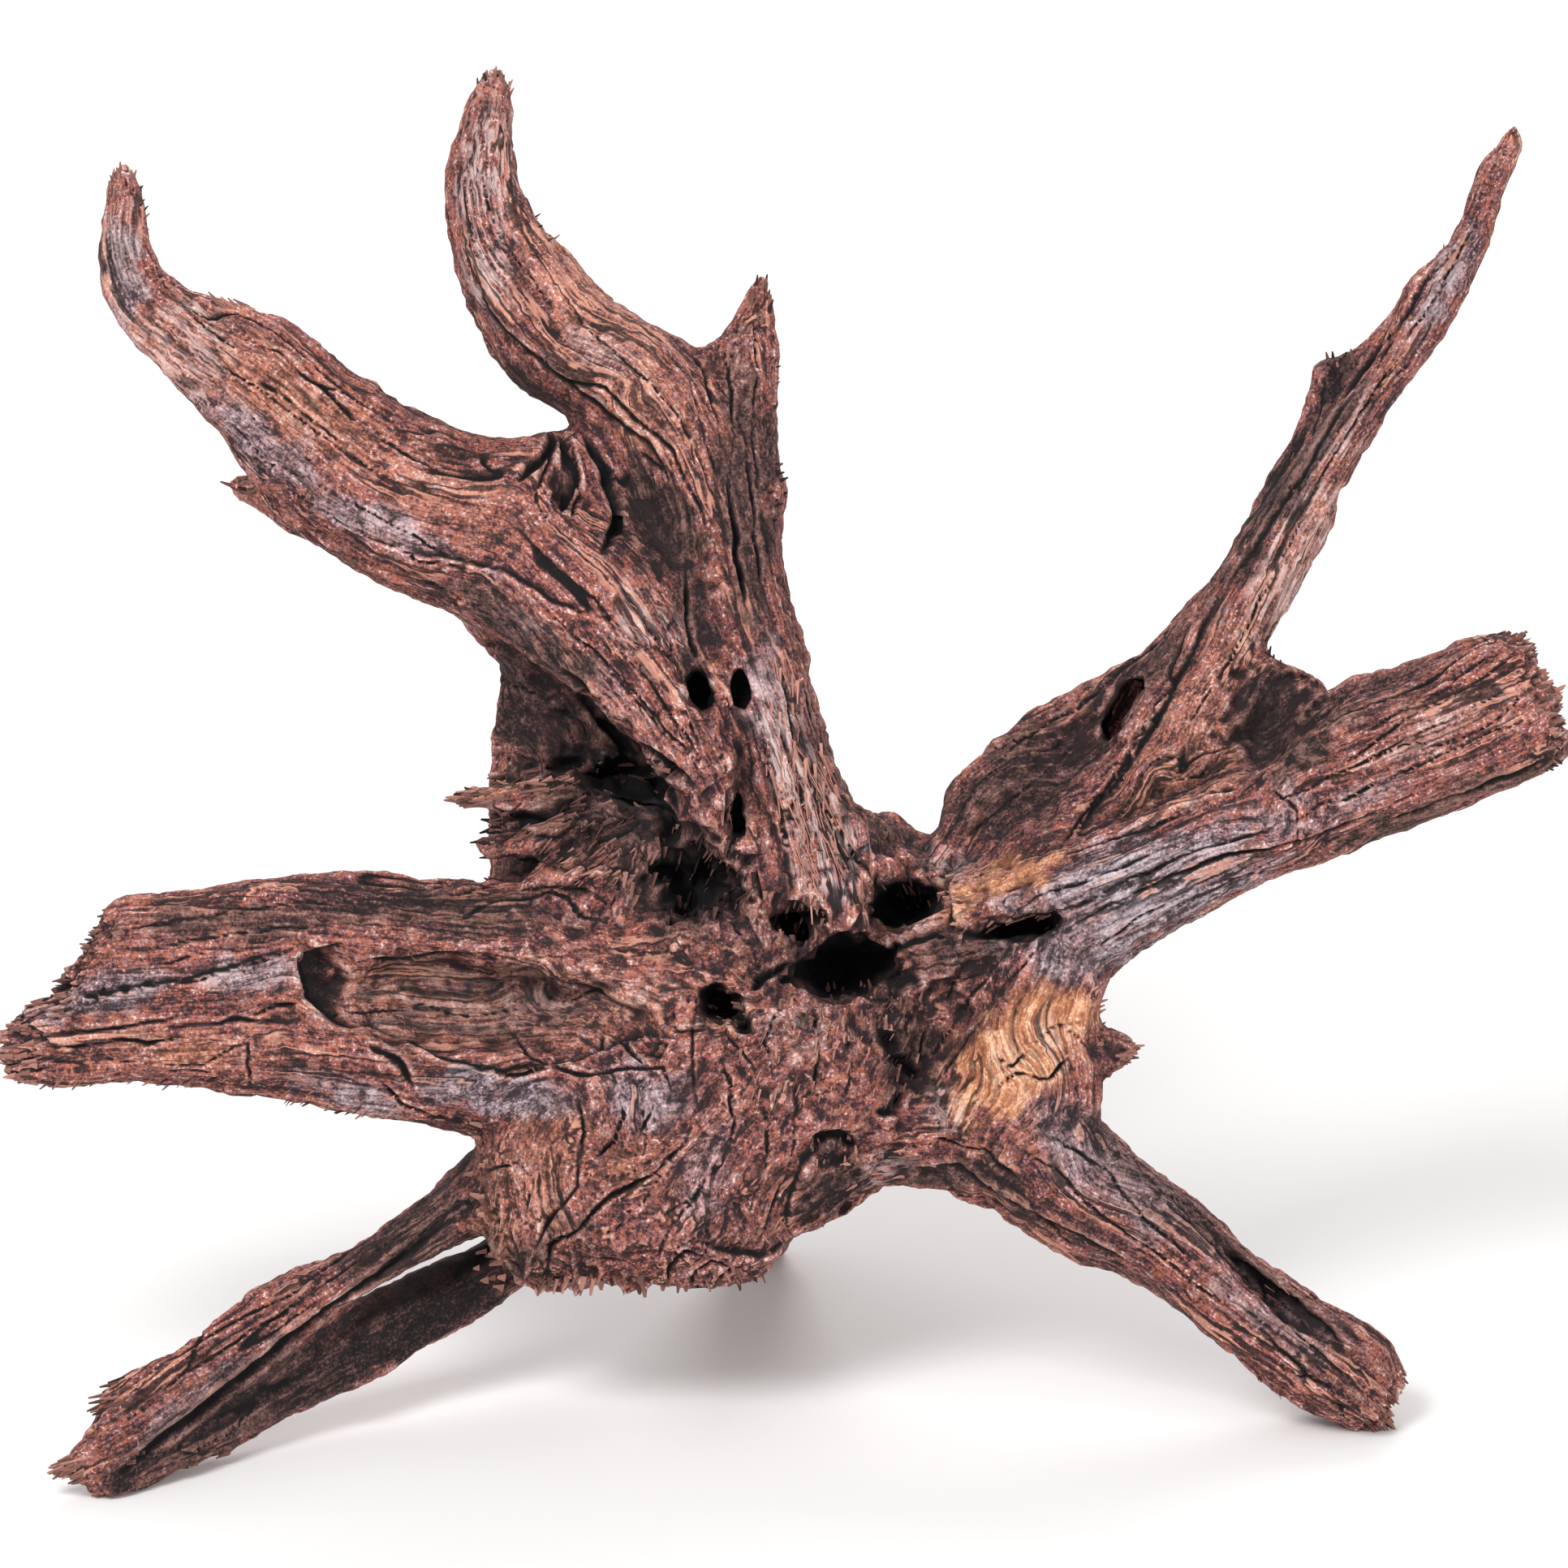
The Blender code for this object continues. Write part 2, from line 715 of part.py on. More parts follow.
def level_on_feet(mesh):
    """Tips the wood until the lowest points of its three feet lie level."""
    place = Matrix.Scale(SCALE, 4) @ Matrix.Rotation(-LEAN, 4, "X")
    mesh.transform(place)
    feet = [place @ Vector(foot) for foot in FEET]
    for _ in range(3):
        left, right, heel = lowest_feet(mesh, feet)
        up = (right - left).cross(heel - left).normalized()
        tip = up.rotation_difference(Vector((0.0, 0.0, 1.0))).to_matrix().to_4x4()
        mesh.transform(tip)
        feet = [tip @ foot for foot in feet]


def stand(obj):
    """Sets the wood on its feet in metres and cuts them flat at z = 0."""
    mesh = obj.data
    level_on_feet(mesh)
    wood = bmesh.new()
    wood.from_mesh(mesh)
    ground = min(v.co.z for v in wood.verts) + FOOT_CUT * SCALE
    level = Vector((0.0, 0.0, ground))
    everything = list(wood.verts) + list(wood.edges) + list(wood.faces)
    down = Vector((0.0, 0.0, -1.0))
    bmesh.ops.bisect_plane(wood, geom=everything, plane_co=level, plane_no=down, clear_outer=True, dist=1e-6)
    for vert in wood.verts:
        if vert.is_boundary:
            vert.co.z = ground
    rims = [edge for edge in wood.edges if edge.is_boundary]
    soles = bmesh.ops.holes_fill(wood, edges=rims, sides=0)["faces"]
    bmesh.ops.triangulate(wood, faces=soles)
    bmesh.ops.recalc_face_normals(wood, faces=wood.faces)
    places = np.array([v.co for v in wood.verts])
    middle = (places.min(axis=0) + places.max(axis=0)) / 2
    bmesh.ops.translate(wood, verts=wood.verts, vec=(-middle[0], -middle[1], -ground))
    wood.to_mesh(mesh)
    wood.free()


def wood_material():
    """Dark red-brown weathered wood."""
    material = bpy.data.materials.new("weathered_wood")
    material.use_nodes = True
    shader = material.node_tree.nodes["Principled BSDF"]
    shader.inputs["Base Color"].default_value = WOOD_COLOUR
    shader.inputs["Roughness"].default_value = WOOD_ROUGHNESS
    shader.inputs["Metallic"].default_value = 0.0
    return material


def build():
    """Builds the whole piece."""
    for old in list(bpy.data.objects):
        bpy.data.objects.remove(old)
    wood = joined_limbs()
    fuse(wood, ROUGH_VOXEL)
    cut_hollows(wood)
    fuse(wood, FINE_VOXEL)
    smooth(wood, FUSE_SMOOTHING)
    keep_one_shell(wood)
    carve_relief(wood)
    simplify(wood, TRIANGLES)
    stand(wood)
    wood.data.materials.append(wood_material())


build()
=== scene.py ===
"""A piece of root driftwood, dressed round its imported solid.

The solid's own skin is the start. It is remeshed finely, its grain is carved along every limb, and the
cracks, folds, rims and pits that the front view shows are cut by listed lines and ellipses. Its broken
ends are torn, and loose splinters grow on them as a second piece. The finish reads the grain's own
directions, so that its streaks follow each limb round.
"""

import logging
import math
from collections.abc import Callable
from dataclasses import dataclass, field
from enum import Enum

import bmesh
import bpy
import numpy as np
from mathutils import Matrix, Vector, kdtree


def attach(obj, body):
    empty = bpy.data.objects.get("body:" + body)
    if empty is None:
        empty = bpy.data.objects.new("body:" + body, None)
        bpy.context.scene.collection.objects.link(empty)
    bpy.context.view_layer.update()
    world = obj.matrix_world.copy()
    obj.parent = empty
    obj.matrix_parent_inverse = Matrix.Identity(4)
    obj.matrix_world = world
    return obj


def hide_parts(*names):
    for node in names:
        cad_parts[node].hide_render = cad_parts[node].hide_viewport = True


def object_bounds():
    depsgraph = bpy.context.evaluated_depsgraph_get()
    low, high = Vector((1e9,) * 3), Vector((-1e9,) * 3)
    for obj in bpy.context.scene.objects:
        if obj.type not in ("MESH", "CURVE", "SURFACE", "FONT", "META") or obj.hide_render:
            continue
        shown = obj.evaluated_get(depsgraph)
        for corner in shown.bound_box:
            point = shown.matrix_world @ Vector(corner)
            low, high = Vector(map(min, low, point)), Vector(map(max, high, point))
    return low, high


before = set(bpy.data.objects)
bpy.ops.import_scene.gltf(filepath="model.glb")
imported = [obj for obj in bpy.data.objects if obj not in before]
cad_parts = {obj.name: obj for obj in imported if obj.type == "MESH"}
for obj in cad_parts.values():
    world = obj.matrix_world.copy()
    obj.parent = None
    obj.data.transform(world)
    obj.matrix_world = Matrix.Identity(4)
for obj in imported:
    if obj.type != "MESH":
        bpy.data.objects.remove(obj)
CAD_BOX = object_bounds()

LOG = logging.getLogger("driftwood")
NODE = "driftwood"
BODY = "root"

IMAGE_PIXELS = 1932  # width and height of the photograph's frame
PIXELS_PER_MM = 4.0  # the drawing's scale in that frame
MM = 0.001
CAD_MARGIN = 0.012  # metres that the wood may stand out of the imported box
SPECULAR = 0.3  # bare weathered wood hardly shines
MATH = "ShaderNodeMath"


def linear(hex_colour: str) -> tuple[float, float, float, float]:
    """Turns an sRGB hex colour to linear.

    Args:
        hex_colour: six hex digits after a hash sign.

    Returns:
        Linear red, green and blue, and an alpha of 1.
    """
    parts = [int(hex_colour[i : i + 2], 16) / 255.0 for i in (1, 3, 5)]
    red, green, blue = (c / 12.92 if c <= 0.04045 else ((c + 0.055) / 1.055) ** 2.4 for c in parts)
    return red, green, blue, 1.0


def smoothstep(low: float, high: float, values: np.ndarray) -> np.ndarray:
    """Rises smoothly from 0 at low to 1 at high."""
    t = np.clip((values - low) / (high - low), 0.0, 1.0)
    return t * t * (3.0 - 2.0 * t)


def lattice_noise(points: np.ndarray, seed: int) -> np.ndarray:
    """Smooth random numbers with features about one unit wide.

    Args:
        points: places, one row each.
        seed: which noise.

    Returns:
        A number from -1 to 1 for each place.
    """
    size = 32
    table = np.random.default_rng(seed).uniform(-1.0, 1.0, size**3).astype(np.float32)
    cell = np.floor(points).astype(np.int32)
    t = (points - cell).astype(np.float32)
    t = t * t * t * (t * (t * 6.0 - 15.0) + 10.0)
    total = np.zeros(len(points), np.float32)
    mask = size - 1
    for corner in range(8):
        step = (corner & 1, corner >> 1 & 1, corner >> 2 & 1)
        weight = np.ones(len(points), np.float32)
        index = np.zeros(len(points), np.int32)
        for axis in range(3):
            weight *= t[:, axis] if step[axis] else 1.0 - t[:, axis]
            index = index * size + ((cell[:, axis] + step[axis]) & mask)
        total += weight * table[index]
    return total


def read_points(mesh: bpy.types.Mesh) -> np.ndarray:
    """A mesh's points, one row each."""
    flat = np.empty(len(mesh.vertices) * 3, np.float32)
    mesh.vertices.foreach_get("co", flat)
    return flat.reshape(-1, 3).astype(float)


def read_normals(mesh: bpy.types.Mesh) -> np.ndarray:
    """The directions that a mesh's points face, one row each."""
    flat = np.empty(len(mesh.vertices) * 3, np.float32)
    mesh.vertex_normals.foreach_get("vector", flat)
    return flat.reshape(-1, 3).astype(float)


def write_points(mesh: bpy.types.Mesh, points: np.ndarray) -> None:
    """Moves a mesh's points."""
    mesh.vertices.foreach_set("co", points.astype(np.float32).ravel())
    mesh.update()


def write_shades(mesh: bpy.types.Mesh, shades: dict[str, np.ndarray]) -> None:
    """Keeps a number or a vector for each point of a mesh, as attributes by name.

    Args:
        mesh: the mesh.
        shades: by name, one number or row for each point.
    """
    for name, values in shades.items():
        kind, slot = ("FLOAT_VECTOR", "vector") if values.ndim == 2 else ("FLOAT", "value")
        attribute = mesh.attributes.new(name, kind, "POINT")
        attribute.data.foreach_set(slot, values.astype(np.float32).ravel())


def columns(places: np.ndarray, *seeds: int) -> np.ndarray:
    """One column of lattice noise for each seed."""
    return np.column_stack([lattice_noise(places, seed) for seed in seeds])


@dataclass(frozen=True)
class Drawing:
    """The front drawing that the listed points are given in: millimetres, x across, y away and z up."""

    lean: float = math.radians(20.43)  # how far the drawing leans back when the wood stands
    roll: float = math.radians(0.355)
    shift: tuple[float, float, float] = (-0.00248, 0.00167, 0.18394)  # metres

    def turn(self) -> np.ndarray:
        """The rotation from the drawing to the frame."""
        ca, sa = math.cos(-self.lean), math.sin(-self.lean)
        cb, sb = math.cos(self.roll), math.sin(self.roll)
        about_x = np.array(((1, 0, 0), (0, ca, -sa), (0, sa, ca)))
        about_y = np.array(((cb, 0, sb), (0, 1, 0), (-sb, 0, cb)))
        return about_y @ about_x

    def to_frame(self, points: np.ndarray) -> np.ndarray:
        """Drawing millimetres to frame metres."""
        return points @ self.turn().T * MM + np.array(self.shift)

    def from_frame(self, points: np.ndarray) -> np.ndarray:
        """Frame metres to drawing millimetres."""
        return (points - np.array(self.shift)) @ self.turn() / MM

    @staticmethod
    def to_pixels(points: np.ndarray) -> np.ndarray:
        """Drawing millimetres to pixels of the photograph's frame."""
        middle = IMAGE_PIXELS / 2
        return np.column_stack((points[:, 0] * PIXELS_PER_MM + middle, middle - points[:, 2] * PIXELS_PER_MM))

    @staticmethod
    def from_pixels(points: tuple) -> np.ndarray:
        """Pixels of the photograph's frame, x and y in turn, to the drawing's x and z."""
        pixels = np.array(points, float).reshape(-1, 2)
        middle = IMAGE_PIXELS / 2
        return np.column_stack((pixels[:, 0] - middle, middle - pixels[:, 1])) / PIXELS_PER_MM


DRAWING = Drawing()


@dataclass(frozen=True)
class Limb:
    """A limb's heart line in the drawing: x, y, z and radius, from root to tip."""

    name: str
    knots: tuple[tuple[float, float, float, float], ...]
    torn: float = 0.0  # mm that the splinters of its broken tip stand out
    splinter_pitch: float = 2.8  # mm between two splinters
    torn_zone: float = 9.0  # mm of the tip that is torn
    carving: float = 1.0  # how deep its grain is carved

    def line(self, step: float) -> tuple[np.ndarray, np.ndarray]:
        """The heart line drawn smoothly through its knots.

        Args:
            step: mm between two places.

        Returns:
            The distance along the line, and x, y, z and radius there.
        """
        knots = np.array(self.knots, float)
        gaps = np.linalg.norm(np.diff(knots[:, :3], axis=0), axis=1)
        at_knots = np.concatenate(([0.0], np.cumsum(gaps)))
        along = np.linspace(0.0, at_knots[-1], max(3, int(at_knots[-1] / step)))
        slopes = np.gradient(knots, at_knots, axis=0)
        i = np.clip(np.searchsorted(at_knots, along, side="right") - 1, 0, len(knots) - 2)
        length = gaps[i][:, None]
        t = (along - at_knots[i])[:, None] / length
        rise = knots[i + 1] - knots[i]
        low, high = slopes[i] * length - rise, rise - slopes[i + 1] * length
        return along, knots[i] + t * rise + t * (1 - t) * ((1 - t) * low + t * high)

    def axes(self, line: np.ndarray) -> np.ndarray:
        """Three directions at each place of the line, without twist: along, sideways and outwards.

        Args:
            line: x, y, z and radius at each place.

        Returns:
            The three directions for each place.
        """
        tangents = np.gradient(line[:, :3], axis=0)
        tangents /= np.linalg.norm(tangents, axis=1)[:, None]
        out = np.array((0.0, -1.0, 0.3))
        found = []
        for tangent in tangents:
            out = out - (out @ tangent) * tangent
            out /= np.linalg.norm(out)
            found.append((tangent, np.cross(out, tangent), out))
        return np.array(found)


LIMBS = (
    Limb("trunk", (
        (9, 4, -66, 34), (8, 1, -35, 30), (2, 0, -6, 24), (-5, 0, 16, 22), (-13, 0, 40, 24),
        (-20, 0, 66, 23), (-20, 2, 90, 20), (-16, 5, 112, 15), (-12, 7, 130, 11), (-12, 8, 141, 8),
        (-8, 8, 151, 6), (-6, 8, 162, 4),
    ), torn=2.0),
    Limb("left horn", (
        (-16, -12, -23, 14), (-22, -16, -4, 16), (-31, -16, 17, 19), (-46, -13, 40, 22), (-64, -9, 64, 24),
        (-83, -7, 80, 25), (-99, -6, 84, 24), (-120, -8, 90, 22), (-143, -12, 105, 20),
        (-166, -14, 124, 17), (-185, -14, 138, 12), (-198, -12, 150, 10), (-203, -8, 164, 8),
        (-203, -4, 177, 6), (-203, 0, 190, 4),
    ), torn=1.5),
    Limb("horn strip", (
        (-112, -2, 64, 8), (-138, -3, 78, 7), (-155, -2, 86, 6), (-167, 0, 90, 5), (-176, 2, 92, 3),
    ), torn=2.5),
    Limb("middle horn", (
        (-14, 2, 41, 24), (-23, 0, 75, 24), (-33, -2, 103, 22), (-48, 0, 124, 20), (-65, 6, 134, 18),
        (-78, 12, 150, 16), (-88, 18, 165, 13), (-92, 22, 182, 11), (-92, 24, 197, 9), (-90, 25, 210, 8),
        (-89, 25, 223, 5),
    ), torn=2.5, carving=0.8),
    Limb("buttress", (
        (-84, 12, 54, 16), (-64, 20, 29, 20), (-58, 24, 8, 24), (-57, 22, -9, 28), (-54, 16, -26, 28),
        (-55, 8, -46, 32),
    )),
    Limb("flake", ((-30, 0, -8, 14), (-60, -4, -6, 12), (-86, -12, -5, 8), (-103, -14, -5, 4)), torn=4.0),
    Limb("root body", (
        (-4, 14, -12, 30), (-1, 11, -37, 36), (-3, 8, -60, 40), (-8, 3, -84, 40), (-19, -3, -104, 38),
        (-33, -8, -122, 32), (-44, -14, -139, 26), (-47, -19, -154, 18),
    ), torn=3.4, splinter_pitch=7.0, torn_zone=6.0, carving=1.1),
    Limb("slab", (
        (-14, 0, -81, 40), (-54, -6, -75, 36), (-89, -12, -70, 32), (-118, -18, -66, 28),
        (-145, -22, -63, 25), (-174, -25, -63, 22), (-199, -27, -64, 20), (-220, -28, -65, 15),
    ), torn=5.0),
    Limb("right arm", (
        (26, 4, -56, 26), (62, -4, -51, 24), (93, -10, -38, 22), (120, -14, -25, 20), (150, -18, -11, 20),
        (178, -22, 5, 21), (204, -26, 15, 21), (235, -29, 29, 18),
    ), torn=5.0),
    Limb("right horn", (
        (54, 4, -45, 18), (79, 6, -23, 15), (108, 10, 0, 15), (129, 16, 25, 15), (142, 22, 51, 12),
        (154, 28, 75, 12), (169, 33, 100, 10), (181, 38, 118, 9), (194, 42, 136, 9), (205, 46, 154, 9),
        (215, 50, 169, 7), (221, 53, 186, 6), (226, 55, 197, 5), (228, 56, 205, 4),
    ), torn=1.5, carving=0.8),
    Limb("sail", (
        (48, 8, -29, 12), (66, 14, -10, 13), (90, 18, 10, 13), (111, 22, 28, 11), (130, 27, 50, 9),
    )),
    Limb("right root", ((77, -8, -46, 24), (73, -12, -69, 22), (71, -12, -86, 24), (66, -10, -104, 24))),
    Limb("root spike", ((84, -14, -84, 10), (99, -14, -83, 7), (113, -14, -83, 4)), torn=2.0),
    Limb("right leg", (
        (35, 0, -107, 24), (68, -8, -110, 22), (91, -10, -125, 20), (117, -11, -141, 18),
        (140, -11, -159, 16), (161, -10, -173, 15), (185, -8, -191, 12),
    ), torn=4.0),
    Limb("left leg", (
        (-64, 14, -112, 17), (-88, 4, -123, 14), (-109, -7, -137, 12), (-132, -18, -153, 11),
        (-158, -29, -171, 12), (-180, -39, -185, 10), (-199, -47, -199, 9), (-219, -55, -210, 5),
    ), torn=3.0),
    Limb("left leg back", (
        (-51, 26, -130, 15), (-75, 18, -143, 12), (-98, 9, -157, 11), (-122, -2, -171, 10),
        (-148, -15, -185, 10), (-171, -29, -199, 9), (-207, -53, -215, 5),
    ), torn=2.0),
    Limb("heel", (
        (0, 25, -70, 28), (-3, 52, -95, 24), (-5, 78, -115, 19), (-6, 102, -131, 14), (-6, 132, -149, 6),
    )),
)


class Cut(Enum):
    """What a listed line does to the skin."""

    CRACK = "a narrow split, dark inside"
    FOLD = "a wide soft groove"
    RIDGE = "a raised line"
    STEP = "an edge: the skin drops on the right of the line's run"


@dataclass(frozen=True)
class Line:
    """A crack, fold, ridge or edge, drawn on the front of the wood in the photograph's pixels."""

    cut: Cut
    width: float  # mm
    depth: float  # mm
    points: tuple[float, ...]  # x and y in turn


CRACK, FOLD, RIDGE, STEP = Cut.CRACK, Cut.FOLD, Cut.RIDGE, Cut.STEP
LINES = tuple(
    Line(cut, width, depth, points)
    for cut, width, depth, *paths in (
        # the left horn
        (CRACK, 1.3, 2.0, (346, 440, 372, 462, 400, 480, 424, 505, 446, 529)),
        (CRACK, 1.3, 1.8, (470, 540, 510, 566, 555, 588)),
        (CRACK, 1.0, 1.2, (300, 420, 345, 438, 380, 470, 430, 488)),
        (CRACK, 0.9, 1.2, (250, 440, 320, 480, 400, 540, 480, 590), (300, 560, 380, 590, 470, 640,
          560, 690), (180, 300, 205, 350, 250, 400, 300, 440)),
        (CRACK, 1.0, 1.2, (350, 600, 430, 650, 520, 690, 600, 706, 640, 716)),
        (STEP, 2.2, 1.4, (748, 766, 722, 758, 670, 736, 622, 706, 560, 690, 500, 680)),
        (FOLD, 3.5, 2.0, (279, 606, 330, 622, 400, 662, 460, 690, 540, 726)),
        (CRACK, 2.6, 6.0, (695, 829, 712, 842, 744, 888, 774, 918, 805, 931, 850, 965)),
        # the folds that fan out of the crotch
        (CRACK, 2.2, 4.0, (685, 520, 679, 554, 660, 575, 640, 593)),
        (CRACK, 1.4, 2.5, (684, 540, 679, 571, 664, 606)),
        (CRACK, 2.0, 3.5, (690, 530, 700, 567, 705, 601, 694, 632)),
        (CRACK, 1.6, 3.0, (700, 540, 713, 588, 718, 614, 705, 638)),
        (CRACK, 2.2, 4.0, (720, 540, 727, 549, 748, 584, 761, 627, 761, 653, 746, 684)),
        (RIDGE, 1.4, 1.2, (742, 560, 758, 590, 766, 630)),
        (RIDGE, 1.4, 1.0, (690, 560, 688, 590, 676, 620)),
        # the middle horn and the trunk
        (CRACK, 1.5, 2.0, (650, 430, 700, 470, 744, 480, 783, 519, 826, 554, 848, 597, 861, 623, 874, 667)),
        (CRACK, 1.2, 1.5, (779, 554, 809, 575, 839, 606, 852, 654)),
        (STEP, 3.0, 1.6, (580, 300, 600, 380, 650, 430, 700, 470, 740, 500, 800, 550, 840, 600)),
        (CRACK, 1.0, 1.2, (700, 380, 740, 420, 800, 470, 840, 520, 862, 580), (820, 430, 850, 470, 868, 540,
          884, 600)),
        (CRACK, 1.2, 1.6, (846, 430, 866, 455, 880, 500, 892, 560), (890, 420, 900, 470, 904, 530,
          898, 590)),
        (CRACK, 1.0, 1.4, (930, 400, 932, 470, 928, 540, 936, 600)),
        (CRACK, 1.8, 3.5, (896, 590, 904, 654, 911, 706, 922, 755)),
        (CRACK, 1.2, 2.0, (918, 560, 926, 600, 930, 660, 936, 720)),
        (CRACK, 1.5, 2.5, (844, 700, 848, 762, 859, 815)),
        (CRACK, 4.4, 8.0, (858, 836, 862, 858, 866, 872)),
        (CRACK, 3.6, 6.5, (912, 832, 914, 852, 918, 870)),
        (CRACK, 1.4, 2.2, (852, 890, 857, 910, 865, 930)),
        (CRACK, 3.2, 7.0, (903, 975, 907, 996, 912, 1024)),
        (CRACK, 1.2, 1.5, (960, 820, 972, 870, 978, 930, 990, 1000, 1004, 1070), (990, 840, 1004, 900,
          1012, 960, 1030, 1030, 1050, 1080)),
        (CRACK, 1.0, 1.4, (940, 900, 950, 960, 966, 1020, 980, 1070), (1016, 960, 1034, 1020, 1056, 1060,
          1080, 1080)),
        (CRACK, 1.4, 2.0, (962, 700, 978, 760, 996, 830, 1010, 900)),
        (CRACK, 1.0, 1.4, (760, 800, 800, 840, 840, 900, 880, 960), (720, 790, 770, 840, 820, 900,
          870, 950), (680, 760, 730, 800, 780, 860, 830, 920)),
        # the torn layers left of the trunk
        (STEP, 2.6, 3.0, (562, 978, 596, 960, 648, 959, 687, 938, 720, 930)),
        (CRACK, 2.6, 5.0, (588, 998, 640, 1012, 680, 1002, 712, 985)),
        (STEP, 2.0, 2.0, (600, 1030, 640, 1018, 690, 1030, 716, 1000, 728, 960)),
        (CRACK, 3.0, 6.0, (690, 940, 740, 950, 790, 940, 830, 985)),
        (CRACK, 1.6, 3.0, (792, 1040, 760, 1055, 735, 1066, 705, 1087)),
        (CRACK, 1.2, 2.0, (800, 1000, 780, 1020, 750, 1035, 720, 1040)),
        (CRACK, 3.0, 6.0, (800, 1060, 830, 1080, 850, 1110, 826, 1135)),
        (CRACK, 3.2, 6.0, (880, 1060, 902, 1085, 906, 1115)),
        (CRACK, 3.0, 5.0, (850, 1040, 872, 1062, 860, 1090)),
        (CRACK, 1.2, 1.6, (540, 1105, 596, 1096, 653, 1092, 713, 1096, 754, 1112)),
        (CRACK, 1.4, 1.8, (560, 1133, 611, 1111, 675, 1099, 698, 1107, 718, 1127, 754, 1139)),
        # the slab
        (CRACK, 1.3, 1.8, (51, 1273, 91, 1269, 158, 1263, 198, 1257, 237, 1246)),
        (CRACK, 1.4, 2.0, (206, 1214, 253, 1206, 300, 1190, 344, 1178, 368, 1166)),
        (STEP, 3.0, 1.2, (368, 1166, 300, 1188, 240, 1206, 160, 1216, 90, 1232)),
        (CRACK, 1.1, 1.4, (99, 1230, 158, 1218, 206, 1210)),
        (CRACK, 1.5, 2.0, (206, 1265, 277, 1257, 316, 1253, 368, 1257)),
        (CRACK, 1.4, 1.8, (316, 1246, 344, 1238, 372, 1238), (59, 1289, 119, 1285, 158, 1277, 186, 1285,
          230, 1274)),
        (CRACK, 1.1, 1.5, (198, 1313, 257, 1309, 289, 1289, 312, 1281)),
        (CRACK, 1.1, 1.4, (206, 1321, 269, 1317)),
        (CRACK, 1.3, 1.8, (310, 1281, 310, 1313, 312, 1336)),
        (CRACK, 1.1, 1.4, (30, 1300, 80, 1306, 130, 1300, 180, 1304), (120, 1150, 200, 1136, 300, 1120,
          400, 1110, 500, 1108), (140, 1176, 230, 1160, 320, 1146, 430, 1136)),
        (CRACK, 1.0, 1.2, (100, 1200, 200, 1186, 290, 1168, 360, 1150)),
        (STEP, 3.0, 3.0, (411, 1258, 387, 1226, 372, 1196, 380, 1172, 415, 1162)),
        (CRACK, 2.6, 3.5, (374, 1182, 387, 1222, 411, 1250, 440, 1262)),
        (CRACK, 1.3, 1.6, (415, 1186, 474, 1180, 553, 1174, 620, 1180, 700, 1176)),
        (STEP, 2.4, 2.2, (840, 1277, 797, 1276, 766, 1283, 718, 1303, 679, 1311, 620, 1322, 553, 1303,
          506, 1279, 459, 1263, 411, 1258)),
        (CRACK, 1.4, 1.6, (627, 1269, 651, 1293, 679, 1309, 718, 1301, 766, 1281)),
        (CRACK, 1.4, 1.8, (560, 1297, 592, 1317, 639, 1325, 679, 1313, 730, 1321, 781, 1313, 817, 1313,
          829, 1344, 821, 1364)),
        (CRACK, 2.0, 2.6, (459, 1285, 494, 1309, 510, 1338)),
        (CRACK, 1.4, 1.8, (470, 1330, 500, 1360, 540, 1376, 580, 1380)),
        (FOLD, 3.0, 1.6, (640, 1208, 668, 1216, 686, 1232)),
        # the swirling apron
        (CRACK, 1.2, 1.8, (770, 1281, 793, 1309)),
        (CRACK, 1.6, 2.4, (712, 1352, 720, 1396, 718, 1431, 714, 1459, 679, 1495, 663, 1538)),
        (RIDGE, 3.0, 2.0, (734, 1317, 734, 1356, 742, 1388, 730, 1431)),
        (CRACK, 1.6, 2.6, (853, 1376, 841, 1412, 813, 1439, 758, 1467, 714, 1511, 679, 1534, 675, 1582)),
        (CRACK, 1.4, 2.0, (908, 1396, 880, 1435, 853, 1471, 813, 1499)),
        (CRACK, 1.5, 2.2, (864, 1463, 829, 1507, 817, 1530, 813, 1550)),
        (CRACK, 1.2, 1.8, (851, 1262, 853, 1317, 862, 1360), (892, 1269, 916, 1293, 932, 1317, 940, 1350)),
        (CRACK, 1.2, 1.6, (760, 1340, 772, 1370, 760, 1400, 740, 1420), (800, 1330, 806, 1360, 790, 1390),
         (880, 1290, 900, 1330, 904, 1380, 890, 1430, 850, 1480), (930, 1330, 948, 1380, 944, 1440,
          920, 1500, 900, 1540), (966, 1300, 980, 1350, 978, 1410, 960, 1470, 940, 1520), (600, 1440,
          640, 1430, 660, 1450, 650, 1490), (606, 1500, 630, 1520, 640, 1550)),
        (CRACK, 1.3, 2.0, (820, 1585, 826, 1560, 846, 1540, 870, 1548), (850, 1590, 858, 1566, 876, 1552,
          900, 1560), (880, 1592, 888, 1570, 906, 1560, 926, 1570)),
        (STEP, 2.4, 2.0, (1018, 1510, 980, 1530, 940, 1548, 900, 1545, 860, 1530)),
        (CRACK, 2.4, 4.0, (1000, 1408, 1016, 1398, 1034, 1396, 1054, 1410)),
        (STEP, 2.4, 1.4, (1054, 1412, 1020, 1400, 990, 1430, 975, 1480, 970, 1520)),
        # the middle, between the holes
        (CRACK, 3.6, 7.0, (880, 1232, 890, 1236, 904, 1246, 924, 1268)),
        (CRACK, 2.0, 4.0, (924, 1220, 940, 1200, 980, 1190)),
        (CRACK, 3.6, 7.0, (968, 1130, 980, 1142, 988, 1156)),
        (CRACK, 2.6, 5.0, (1004, 1118, 1014, 1134)),
        (CRACK, 2.6, 4.0, (1080, 1262, 1098, 1294, 1128, 1326)),
